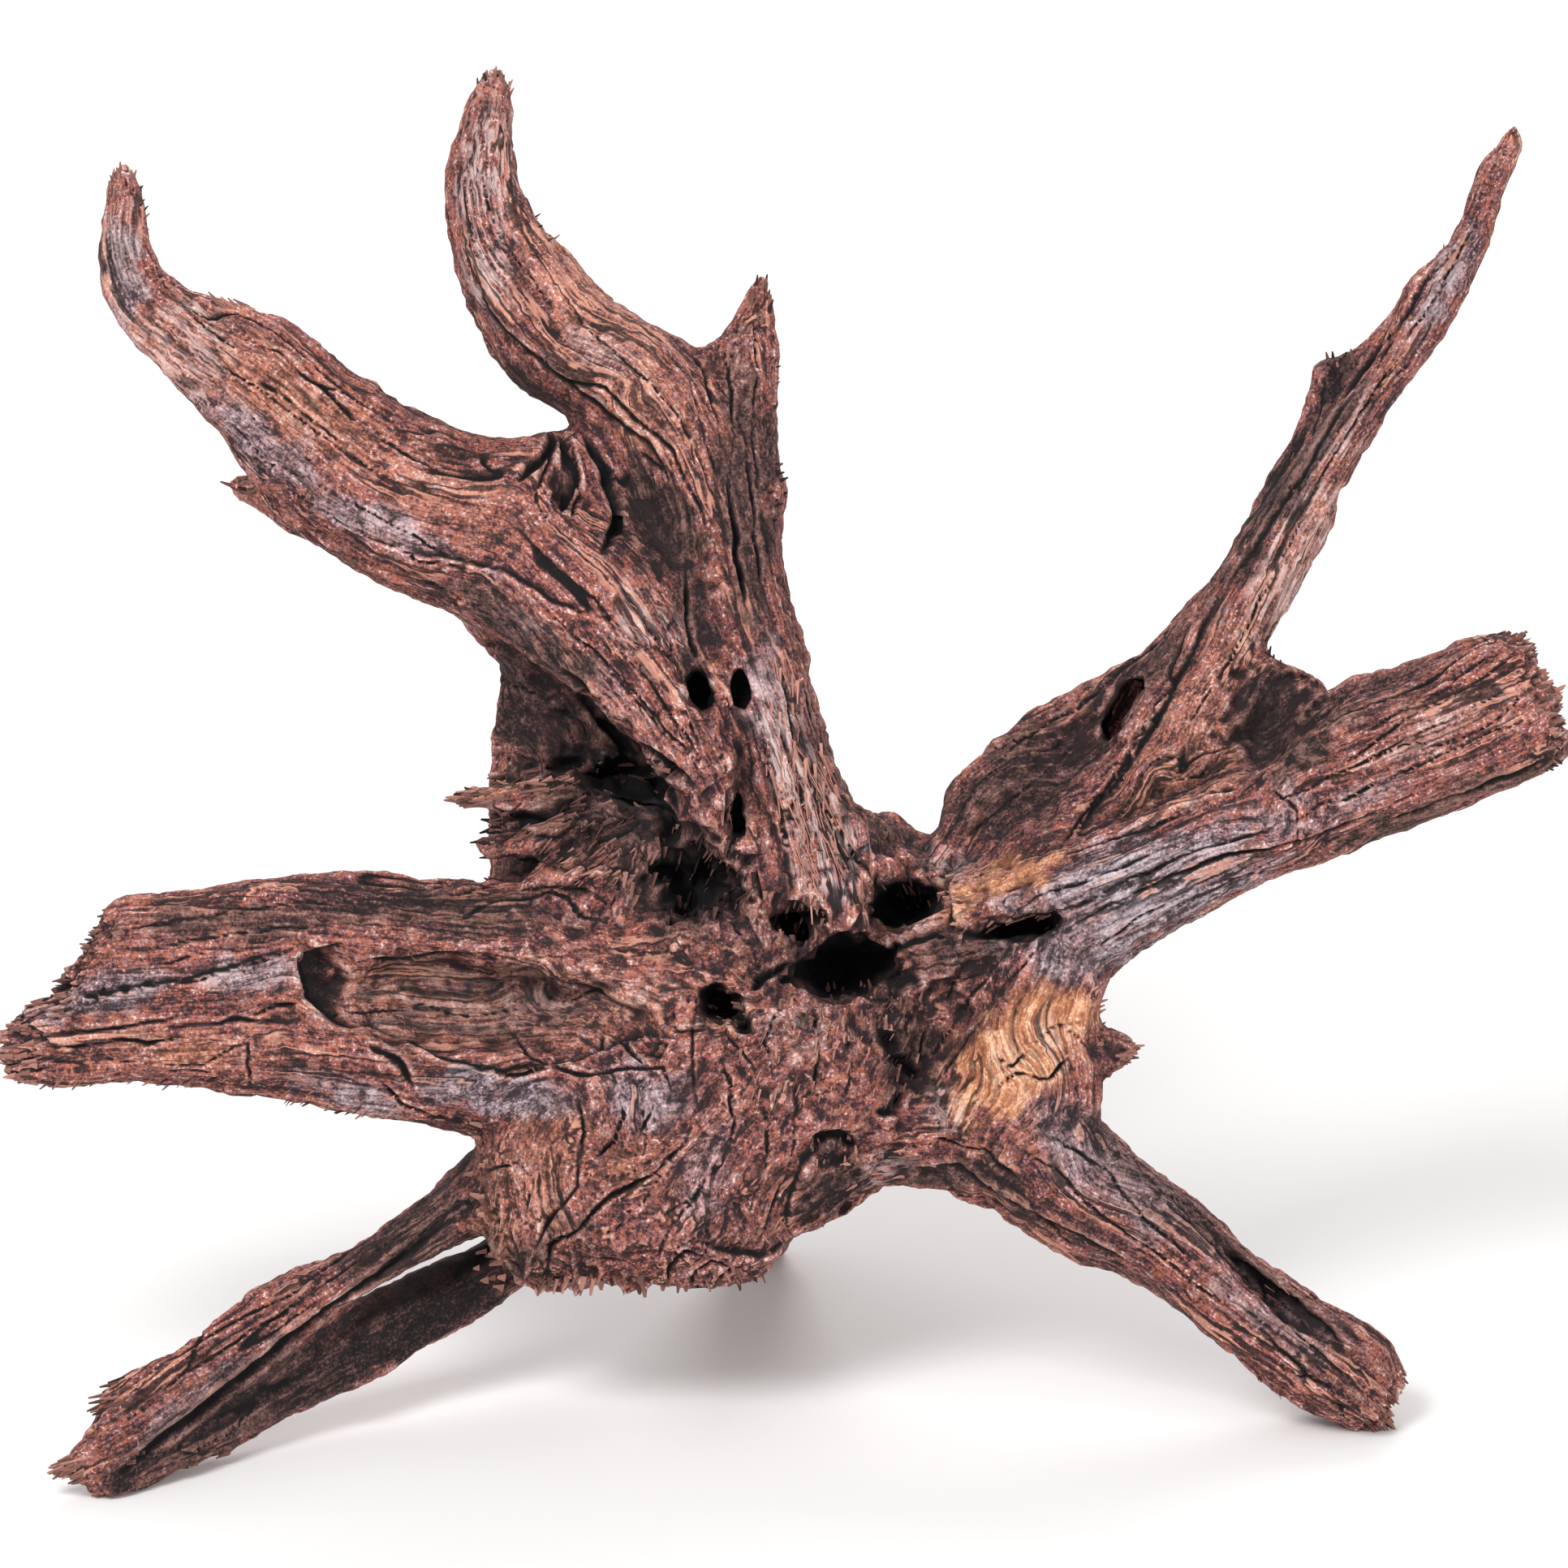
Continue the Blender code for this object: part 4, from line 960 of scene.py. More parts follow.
@dataclass(frozen=True)
class Cutting:
    """How the listed lines are cut into the skin, in mm."""

    stray: float = 0.7  # how far a line wanders from its drawing
    stray_size: float = 7.0
    vary_size: float = 8.0  # how often a fine line thins and fades
    fine: float = 2.0  # a line narrower than this is fine
    fine_share: float = 0.68  # how much of its drawn width a fine line has
    fading: float = 6.0  # how quickly a line grows from its ends
    faintest: float = 0.05
    edge_reach: float = 4.0  # widths beyond which an edge isn't felt
    line_reach: float = 2.2  # and any other line
    lip: float = 0.16  # how high a crack's lips stand, as a share of its depth

    def lines(self, skin: Skin, front: np.ndarray) -> tuple[np.ndarray, np.ndarray]:
        """The listed cracks, folds, ridges and edges.

        Args:
            skin: the wood.
            front: how far each point faces the viewer, 0 where it is hidden.

        Returns:
            The height that they add in mm, and how dark they are from 0 to 1: dark inside cracks, and painted
            shadow along the edges.
        """
        spots = skin.points[:, (0, 2)] + self.stray * columns(skin.points / self.stray_size, 41, 42)
        height = np.zeros(len(spots))
        dark = np.zeros(len(spots))
        vary = lattice_noise(skin.points / self.vary_size, 43)
        for line in LINES:
            path = DRAWING.from_pixels(line.points)
            reach = line.width * (self.edge_reach if line.cut is STEP else self.line_reach)
            close = (spots > path.min(axis=0) - reach) & (spots < path.max(axis=0) + reach)
            inside = np.flatnonzero(close.all(axis=1) & (front > 0.0))
            if len(inside) == 0:
                continue
            gap, side, share = self.nearest(spots[inside], path)
            fine = line.width < self.fine
            taper = np.sqrt(np.clip(np.minimum(share, 1.0 - share) * self.fading, self.faintest, 1.0))
            taper = taper * (0.8 + 0.6 * vary[inside]) if fine else taper
            taper = np.clip(taper, self.faintest, 1.0)
            width = line.width * (0.35 + 0.65 * taper) * (self.fine_share if fine else 1.0)
            strength = front[inside] * line.depth
            if line.cut is CRACK:
                width = 0.85 * width
                shape = np.clip(1.0 - gap / width, 0.0, 1.0)
                lips = np.exp(-(((gap - 1.5 * width) / (0.6 * width)) ** 2))
                cut = -strength * taper * shape**0.7 + self.lip * strength * taper * lips
                height[inside] = np.where(cut < 0, np.minimum(height[inside], cut), height[inside] + cut)
                dark[inside] = np.maximum(dark[inside], front[inside] * smoothstep(0.1, 0.75, shape) * taper)
            elif line.cut is STEP:
                drop = smoothstep(-0.3 * width, 0.3 * width, side) * np.exp(-np.abs(side) / (2.2 * width))
                near = np.exp(-((gap / (3.0 * width)) ** 2))
                rise = 0.35 * smoothstep(-1.5 * width, 0.0, side) * (side < 0)
                height[inside] += strength * near * taper * (rise - drop)
                # painted shadow along the foot of the drop
                edge = np.exp(-(((side - 0.25 * width) / (0.35 * width)) ** 2)) * near
                dark[inside] = np.maximum(dark[inside], 0.8 * front[inside] * edge * taper)
            else:
                bulge = np.exp(-((gap / width) ** 2)) * taper
                height[inside] += strength * bulge * (1.0 if line.cut is RIDGE else -1.0)
        return height, dark

    @staticmethod
    def nearest(spots: np.ndarray, path: np.ndarray) -> tuple[np.ndarray, np.ndarray, np.ndarray]:
        """Measures spots against a path.

        Args:
            spots: x and z, one row each.
            path: the path's corners.

        Returns:
            The distance to the path, the signed distance (over 0 on the right of its run), and how far
            along the path the nearest place is, from 0 to 1.
        """
        best = np.full(len(spots), np.inf)
        side = np.zeros(len(spots))
        share = np.zeros(len(spots))
        steps = np.linalg.norm(np.diff(path, axis=0), axis=1)
        before = np.concatenate(([0.0], np.cumsum(steps)))
        for i, (start, run, length) in enumerate(zip(path[:-1], np.diff(path, axis=0), steps)):
            offset = spots - start
            t = np.clip(offset @ run / length**2, 0.0, 1.0)
            away = offset - t[:, None] * run
            gap = np.linalg.norm(away, axis=1)
            nearer = gap < best
            best[nearer] = gap[nearer]
            side[nearer] = (np.sign(offset[:, 0] * run[1] - offset[:, 1] * run[0]) * gap)[nearer]
            share[nearer] = ((before[i] + t * length) / before[-1])[nearer]
        return best, side, share


def add_object(name: str, mesh: bpy.types.Mesh) -> bpy.types.Object:
    """Puts a mesh in the scene as an object."""
    made = bpy.data.objects.new(name, mesh)
    bpy.context.scene.collection.objects.link(made)
    return made


def baked(piece: bpy.types.Object) -> bpy.types.Object:
    """Turns an object's modifiers into plain mesh and removes them.

    Args:
        piece: the object.

    Returns:
        The same object.
    """
    graph = bpy.context.evaluated_depsgraph_get()
    graph.update()
    mesh = bpy.data.meshes.new_from_object(piece.evaluated_get(graph))
    old = piece.data
    piece.modifiers.clear()
    piece.data = mesh
    bpy.data.meshes.remove(old)
    return piece


def add_node(
    tree: bpy.types.NodeTree,
    kind: str,
    inputs: dict | None = None,
    links: dict | None = None,
    **settings: object,
) -> bpy.types.Node:
    """Adds a node to a tree.

    Args:
        tree: the tree.
        kind: the node's type.
        inputs: values for its input sockets, by name or number.
        links: output sockets that feed its input sockets, by name or number.
        settings: the node's own settings.

    Returns:
        The node.
    """
    node = tree.nodes.new(kind)
    for name, value in settings.items():
        setattr(node, name, value)
    for socket, value in (inputs or {}).items():
        node.inputs[socket].default_value = value
    for socket, source in (links or {}).items():
        tree.links.new(source, node.inputs[socket])
    return node


@dataclass(frozen=True)
class Wear:
    """How rotten, torn and stained the wood is, and how its painted shade spreads, in mm unless it says
    otherwise.
    """

    rotten_places: tuple = (1000, 1150, 800, 1020)  # x and y in turn, in pixels
    rotten_reach: tuple = (62.0, 45.0)
    rotten_front: tuple = (-6.0, 18.0)  # how far back the rot goes
    broad_size: float = 8.0
    broad_shake: tuple = (0.6, 2.8)  # everywhere, and as much more where it is rotten
    close_size: float = 3.6
    close_shake: tuple = (0.4, 1.1)
    pit_rim: tuple = (0.45, 1.15)  # where a pit's floor ends and its rim begins, 1 being its drawn edge
    pit_dark: tuple = (3.6, 6.2)  # the depths where a pit's painted shade starts and where it is black
    spikes: tuple = (1.1, 0.4, -0.35)  # shares of coarse splinters, of fine ones, and a cut back
    patch_rim: tuple = (0.5, 1.4)
    patch_stray: float = 14.0  # pixels
    drift_rim: tuple = (0.1, 0.9)
    drifts: tuple = ((SILVER, 26.0, 63, 0.5), (SHADE, 22.0, 66, 0.8))  # behind: tone, size, seed, strength
    behind: float = 0.3  # how little a point has to face the viewer to count as behind


@dataclass
class Driftwood:
    """The wood itself: one closed piece that stands for the solid."""

    voxel: float = 0.9  # mm
    rough_voxel: float = 1.3  # mm, while trying things
    triangles: int = 197_000
    smoothing: int = 12
    sky_directions: int = 72
    rough_sky_directions: int = 24
    merging: float = 1e-5  # metres
    carving: Carving = field(default_factory=Carving)
    cutting: Cutting = field(default_factory=Cutting)
    wear: Wear = field(default_factory=Wear)
    carved: np.ndarray = field(default_factory=lambda: np.empty((0, 3)))  # the points before thinning
    shades: dict[str, np.ndarray] = field(default_factory=dict)  # what each of them is like

    def start(self) -> bpy.types.Object:
        """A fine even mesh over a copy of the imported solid, in drawing millimetres."""
        copy = bmesh.new()
        copy.from_mesh(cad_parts[NODE].data)
        bmesh.ops.remove_doubles(copy, verts=copy.verts, dist=self.merging)
        mesh = bpy.data.meshes.new("weathered_wood")
        copy.to_mesh(mesh)
        copy.free()
        write_points(mesh, DRAWING.from_frame(read_points(mesh)))
        mesh.materials.clear()
        wood = add_object("weathered_wood", mesh)
        rounding = wood.modifiers.new("rounding", "SUBSURF")
        rounding.levels = rounding.render_levels = 1
        remesh = wood.modifiers.new("even skin", "REMESH")
        remesh.mode = "VOXEL"
        remesh.voxel_size = self.voxel
        return baked(wood)

    @staticmethod
    def nudged(points: np.ndarray) -> np.ndarray:
        """Pulls the outline a few millimetres to where the photograph shows it.

        Args:
            points: drawing millimetres.

        Returns:
            The moved points.
        """
        spots = DRAWING.to_pixels(points)
        move = np.zeros_like(spots)
        for nudge in NUDGES:
            away = ((spots - (nudge.x, nudge.y)) ** 2).sum(axis=1) / nudge.radius**2
            move += np.exp(-away)[:, None] * (nudge.right, -nudge.down)
        moved = points.copy()
        moved[:, (0, 2)] += move / PIXELS_PER_MM
        return moved

    def pitted(self, points: np.ndarray, front: np.ndarray) -> tuple[np.ndarray, np.ndarray]:
        """How far the pits sink each point, in mm, and how much painted shade they leave in it, from 0 to 1.

        Args:
            points: drawing millimetres.
            front: how far each point faces the viewer.

        Returns:
            The depth and the painted shade of each point.
        """
        spots = DRAWING.to_pixels(points)
        fray = 0.45 * lattice_noise(points / 5.0, 81) + 0.3 * lattice_noise(points / 2.4, 82)
        sunk = np.zeros(len(points))
        dark = np.zeros(len(points))
        for pit in PITS:
            inner = 1.0 - smoothstep(*self.wear.pit_rim, np.hypot(*pit.measure(spots)) + fray)
            sunk = np.maximum(sunk, pit.depth * inner)
            dark = np.maximum(dark, smoothstep(*self.wear.pit_dark, pit.depth * inner))
        return sunk * front, dark * front

    @staticmethod
    def swirled(points: np.ndarray) -> np.ndarray:
        """Turns places round each knot, so that the grain curls there.

        Args:
            points: drawing millimetres.

        Returns:
            The turned places.
        """
        spots = DRAWING.to_pixels(points)
        turned = points.copy()
        for swirl in SWIRLS:
            offset = spots - (swirl.x, swirl.y)
            angle = swirl.turn * np.exp(-(offset**2).sum(axis=1) / swirl.radius**2)
            c, s = np.cos(angle), np.sin(angle)
            x, z = offset[:, 0] / PIXELS_PER_MM, -offset[:, 1] / PIXELS_PER_MM
            turned[:, 0] += c * x - s * z - x
            turned[:, 2] += s * x + c * z - z
        return turned

    def roughened(self, points: np.ndarray) -> np.ndarray:
        """Shakes the shape a little everywhere, and more among the rotten holes in the middle.

        Args:
            points: drawing millimetres.

        Returns:
            The moved points.
        """
        wear = self.wear
        middle = DRAWING.from_pixels(wear.rotten_places)
        spread = ((points[:, None, (0, 2)] - middle) ** 2).sum(axis=2) / np.array(wear.rotten_reach) ** 2
        ahead = 1.0 - smoothstep(*wear.rotten_front, points[:, 1])
        rotten = (np.exp(-spread).max(axis=1) * (0.2 + 0.8 * ahead))[:, None]
        broad = columns(points / wear.broad_size, 71, 72, 73)
        close = columns(points / wear.close_size, 74, 75, 76)
        (broad_all, broad_more), (close_all, close_more) = wear.broad_shake, wear.close_shake
        return points + (broad_all + broad_more * rotten) * broad + (close_all + close_more * rotten) * close

    def torn_ends(self, skin: Skin, grain: Grain) -> np.ndarray:
        """How far each point of a broken end moves along the grain, as a row of splinters.

        Args:
            skin: the wood.
            grain: its grain.

        Returns:
            The move of each point in mm.
        """
        move = np.zeros_like(skin.points)
        coarse_share, fine_share, cut_back = self.wear.spikes
        for number, limb in enumerate(LIMBS):
            if limb.torn == 0.0:
                continue
            place = grain.places[number]
            end = grain.ends[number]
            reach = smoothstep(end - limb.torn_zone, end + 1.0, place[:, 0]) * grain.weights[number]
            across = 1.0 / limb.splinter_pitch
            spikes = 1.0 - np.abs(lattice_noise(place * (0.02, across, across) + number, 31)) * 2.0
            fine = lattice_noise(place * (0.05, 2.2 * across, 2.2 * across) + number, 32)
            spikes = np.clip(spikes, 0.0, 1.0) ** 2
            out = limb.torn * (coarse_share * spikes + fine_share * fine + cut_back)
            move += (reach * out)[:, None] * grain.tangents[number]
        return move

    def carve(self, wood: bpy.types.Object) -> None:
        """Carves the grain, the lines, the pits and the torn ends, and keeps the shades that go with them.

        Args:
            wood: the wood's object, with its fine even mesh.
        """
        skin = Skin.of(wood.data)
        skin.points = smoothed(skin.points, skin.edges, self.smoothing)
        skin.points = self.nudged(self.roughened(skin.points))
        grain = Grain(self.swirled(skin.points))
        towards = np.array((0.0, -1.0, 0.0))
        front = seen_from(skin.points, towards, 2.0, 6.0) * smoothstep(0.02, 0.3, skin.normals @ towards)
        front = smoothed(front, skin.edges, 3)
        radius = sum(grain.weights[i] * grain.radii[i] for i in range(len(LIMBS)))
        carving = self.carving
        slim = np.clip(radius / carving.full_radius, 0.3, 1.0)
        height = grain.blend(carving.skin)
        splits = grain.blend(carving.splits)
        knobs = lattice_noise(skin.points / carving.knob_size, 51)
        pores = lattice_noise(skin.points / carving.pore_size, 52)
        height += carving.knob_height * knobs + carving.pore_height * pores - carving.split_depth * splits
        lines, dark = self.cutting.lines(skin, front)
        total = height * slim + lines * np.clip(radius / carving.full_line_radius, 0.4, 1.0)
        sunk, black = self.pitted(skin.points, front)
        sunk = smoothed(sunk, skin.edges, 2)
        skin.points = skin.points + skin.normals * total[:, None] + self.torn_ends(skin, grain)
        skin.points[:, 1] += sunk
        write_points(wood.data, skin.points)
        skin = Skin.of(wood.data)
        fine = skin.hollowness(3)
        broad = skin.hollowness(40)
        sky = skin.openness(self.sky_directions)
        first, second, weight = grain.leaders()
        self.shades = {
            "grain_a": first,
            "grain_b": second,
            "grain_mix": weight,
            "hollow": np.clip(fine / 0.35, -1.0, 1.0) * 0.6 + np.clip(broad / 1.6, -1.0, 1.0) * 0.4,
            "sky": smoothed(sky, skin.edges, 2),
            # dark cracks and splits, with the painted shade of the pits and the painted shadow along the
            # edges
            "crack": np.clip(np.maximum.reduce((dark, 0.85 * splits, 0.9 * black)), 0.0, 1.0),
            "front": front,
            **self.tones(skin, front),
        }
        self.carved = skin.points

    def tones(self, skin: Skin, front: np.ndarray) -> dict[str, np.ndarray]:
        """How strong each tone is at every point: the drawn patches in front, drifts of it elsewhere.

        Args:
            skin: the wood.
            front: how far each point faces the viewer.

        Returns:
            The strengths from 0 to 1, by name.
        """
        spots = DRAWING.to_pixels(skin.points)
        spots += self.wear.patch_stray * columns(skin.points / 9.0, 61, 62)
        fray = 0.35 * lattice_noise(skin.points / 5.0, 64) + 0.2 * lattice_noise(skin.points / 2.2, 65)
        found = {tone.value: np.zeros(len(spots)) for tone in Tone}
        for patch in PATCHES:
            away = np.hypot(*patch.measure(spots))
            value = patch.strength * (1.0 - smoothstep(*self.wear.patch_rim, away + fray)) * front
            found[patch.tone.value] = np.maximum(found[patch.tone.value], value)
        behind = 1.0 - smoothstep(0.0, self.wear.behind, front)
        for tone, size, seed, strength in self.wear.drifts:
            drift = smoothstep(*self.wear.drift_rim, lattice_noise(skin.points / size, seed) + fray)
            found[tone.value] = np.maximum(found[tone.value], behind * drift * strength)
        return found

    def thinned(self, wood: bpy.types.Object) -> None:
        """Brings the mesh under its triangle count, keeping the faces where the carving needs them.

        Args:
            wood: the carved wood.
        """
        count = sum(len(p.vertices) - 2 for p in wood.data.polygons)
        modifier = wood.modifiers.new("thinning", "DECIMATE")
        modifier.ratio = min(1.0, self.triangles / count)
        baked(wood)

    def keep_shades(self, wood: bpy.types.Object) -> None:
        """Gives every vertex that is left the shades of the nearest carved point.

        Args:
            wood: the thinned wood.
        """
        tree = kdtree.KDTree(len(self.carved))
        for number, point in enumerate(self.carved.tolist()):
            tree.insert(point, number)
        tree.balance()
        nearest = np.array([tree.find(v.co)[1] for v in wood.data.vertices])
        write_shades(wood.data, {name: values[nearest] for name, values in self.shades.items()})

    def stand(self, wood: bpy.types.Object) -> None:
        """Moves the mesh from drawing millimetres to its place in the frame, above the floor.

        Args:
            wood: the wood's object.
        """
        placed = DRAWING.to_frame(read_points(wood.data))
        low, high = np.array(CAD_BOX)
        placed = np.clip(placed, low - CAD_MARGIN, high + CAD_MARGIN)
        placed[:, 2] = np.maximum(placed[:, 2], 0.0)
        write_points(wood.data, placed)

    def build(self, finish: bpy.types.Material) -> bpy.types.Object:
        """Makes the finished piece.

        Args:
            finish: the wood's material.

        Returns:
            The piece.
        """
        wood = self.start()
        self.carve(wood)
        self.thinned(wood)
        self.keep_shades(wood)
        self.stand(wood)
        wood.data.shade_smooth()
        wood.data.materials.append(finish)
        return wood


@dataclass(frozen=True)
class Fray:
    """A group of splinters or loose fibres, drawn on the photograph: where, how many and which way."""

    x: float
    y: float
    half_x: float
    half_y: float
    heading: float  # degrees, 0 to the right and 90 down as seen
    count: int
    length: float  # mm
    width: float  # mm
    lean: float = 0.35  # how far they stand out of the skin
    tint: float = 0.4  # from 0, dark, to 1, pale and dry; it is low where a fray lies in the painted shade, to match it


FRAYS = tuple(
    Fray(*row)
    for row in (
        # the tips of the horns
        (152, 232, 26, 22, -80, 26, 5, 0.9), (180, 250, 8, 40, -60, 8, 3, 0.7, 0.6, 0.1),
        (290, 372, 30, 14, -150, 14, 7, 1.0, 0.2, 0.6), (300, 606, 22, 12, 200, 10, 8, 1.3, 0.2, 0.2),
        (604, 104, 26, 20, -86, 26, 4.5, 0.9), (670, 280, 14, 40, -30, 10, 3.5, 0.7, 0.5, 0.3),
        (938, 372, 14, 30, -78, 18, 6, 1.0, 0.25, 0.3), (955, 480, 10, 60, -50, 10, 3.5, 0.8, 0.6, 0.1),
        (958, 610, 12, 40, -20, 16, 4.5, 1.2, 0.7, 0.0), (1860, 186, 14, 14, -66, 14, 4, 0.8, 0.3, 0.6),
        (1656, 446, 22, 18, -100, 18, 4.5, 1.1, 0.6, 0.0), (1600, 540, 14, 70, -70, 14, 4, 0.9, 0.6, 0.0),
        (1780, 320, 14, 50, -80, 12, 3.5, 0.8, 0.5, 0.4),
        # the torn layers left of the trunk
        (588, 984, 26, 10, 182, 26, 9, 1.5, 0.2, 0.4), (610, 1024, 30, 26, 172, 34, 8, 1.4, 0.35, 0.1),
        (650, 965, 60, 16, 165, 34, 10, 1.2, 0.4, 0.5), (700, 1010, 80, 30, 150, 60, 9, 1.3, 0.5, 0.25),
        (770, 960, 70, 40, 200, 40, 8, 1.2, 0.6, 0.0), (715, 1062, 70, 30, 140, 44, 8, 0.9, 0.35, 0.6),
        (600, 1075, 20, 26, 190, 20, 5, 1.0, 0.4, 0.2),
        # the rotten middle
        (850, 1080, 80, 60, 110, 90, 7, 1.3, 0.6, 0.1), (900, 1010, 16, 50, 95, 16, 7, 1.0, 0.4, 0.3),
        (980, 1130, 60, 36, 100, 50, 6, 1.2, 0.5, 0.3), (1050, 1240, 90, 26, -90, 60, 6, 1.1, 0.5, 0.35),
        (1130, 1080, 50, 40, 60, 34, 6, 1.3, 0.5, 0.1), (1186, 1110, 26, 34, 170, 24, 5, 1.2, 0.3, 0.8),
        (1260, 1136, 50, 14, 160, 24, 6, 1.0, 0.3, 0.5), (1100, 1290, 30, 70, 120, 40, 6, 1.1, 0.5, 0.1),
        (900, 1240, 34, 26, 200, 24, 5, 1.1, 0.5, 0.2), (1000, 1310, 90, 60, 100, 60, 6, 0.8, 0.25, 0.6),
        (1030, 1415, 40, 20, -90, 20, 5, 1.0, 0.5, 0.2), (1090, 1440, 60, 30, 170, 26, 5, 1.0, 0.3, 0.5),
        # light fibres down the trunk
        (1010, 1020, 34, 90, 72, 90, 16, 0.8, 0.06, 0.95), (965, 900, 24, 90, 82, 40, 14, 0.7, 0.06, 0.8),
        (800, 770, 40, 40, 40, 18, 9, 0.8, 0.1, 0.9), (1230, 1080, 60, 16, -16, 24, 10, 0.8, 0.1, 0.8),
        # the end and the lower edge of the slab
        (22, 1300, 34, 54, 176, 60, 6, 1.4, 0.2, 0.5), (70, 1230, 30, 44, 172, 34, 5, 1.2, 0.2, 0.4),
        (122, 1140, 14, 44, 178, 24, 4, 1.2, 0.2, 0.2), (180, 1330, 130, 12, 150, 34, 5, 1.0, 0.4, 0.5),
        (400, 1360, 120, 18, 150, 34, 5, 1.0, 0.4, 0.4), (72, 1340, 5, 4, 84, 3, 8, 0.8, 0.1, 0.0),
        # the apron's edges
        (592, 1470, 12, 90, 190, 18, 5, 1.9, 0.3, 0.5), (606, 1560, 24, 30, 170, 14, 6, 2.0, 0.3, 0.5),
        (700, 1586, 34, 16, 100, 16, 7, 2.2, 0.3, 0.5), (800, 1582, 80, 16, 92, 26, 5, 2.0, 0.3, 0.4),
        (910, 1576, 46, 20, 70, 16, 7, 2.0, 0.3, 0.3), (980, 1520, 50, 20, 50, 12, 4.5, 1.6, 0.3, 0.4),
        # the legs' ends
        (78, 1806, 34, 24, 162, 50, 7, 1.4, 0.25, 0.5), (140, 1712, 26, 22, 160, 22, 8, 1.3, 0.15, 0.3),
        (250, 1790, 120, 12, 170, 24, 6, 1.0, 0.3, 0.2), (1712, 1742, 34, 30, 48, 50, 6, 1.5, 0.25, 0.4),
        (1735, 1672, 12, 34, 40, 22, 5, 1.2, 0.25, 0.3), (1600, 1700, 90, 20, 60, 26, 4, 1.0, 0.4, 0.2),
        # the right arm's end and the broken root
        (1905, 850, 18, 80, -16, 60, 5, 1.5, 0.25, 0.5), (1860, 780, 20, 12, -30, 14, 5, 1.3, 0.25, 0.3),
        (1900, 935, 24, 16, 20, 20, 4, 1.2, 0.3, 0.0), (1392, 1300, 18, 16, 0, 22, 5, 1.2, 0.4, 0.4),
        (1356, 1236, 16, 26, -30, 16, 4, 1.0, 0.4, 0.7), (1590, 1590, 160, 10, 42, 20, 6, 1.0, 0.4, 0.2),
        (1570, 800, 12, 30, -90, 10, 4, 1.0, 0.5, 0.0),
    )
)


@dataclass(frozen=True)
class SplinterWood:
    """Loose fibre of the same root wood, dry and matt, from dark to bare pale; the dark end matches the
    painted shade that some of them lie in.
    """

    # the dark end, for splinters in the painted shade
    wet: str = "#2A1C1C"
    dry: str = "#C78F80"
    roughness: float = 0.85
    ior: float = 1.5

    def material(self) -> bpy.types.Material:
        """Builds the node material."""
        made = bpy.data.materials.new("loose_root_fibre")
        made.use_nodes = True
        tree = made.node_tree
        tree.nodes.clear()
        tint = add_node(tree, "ShaderNodeAttribute", attribute_name="tint").outputs["Fac"]
        colours = {6: linear(self.wet), 7: linear(self.dry)}
        mixed = add_node(tree, "ShaderNodeMix", colours, {0: tint}, data_type="RGBA").outputs[2]
        values = {"Roughness": self.roughness, "IOR": self.ior, "Specular IOR Level": SPECULAR}
        shader = add_node(tree, "ShaderNodeBsdfPrincipled", values, {"Base Color": mixed})
        add_node(tree, "ShaderNodeOutputMaterial", None, {"Surface": shader.outputs[0]})
        return made


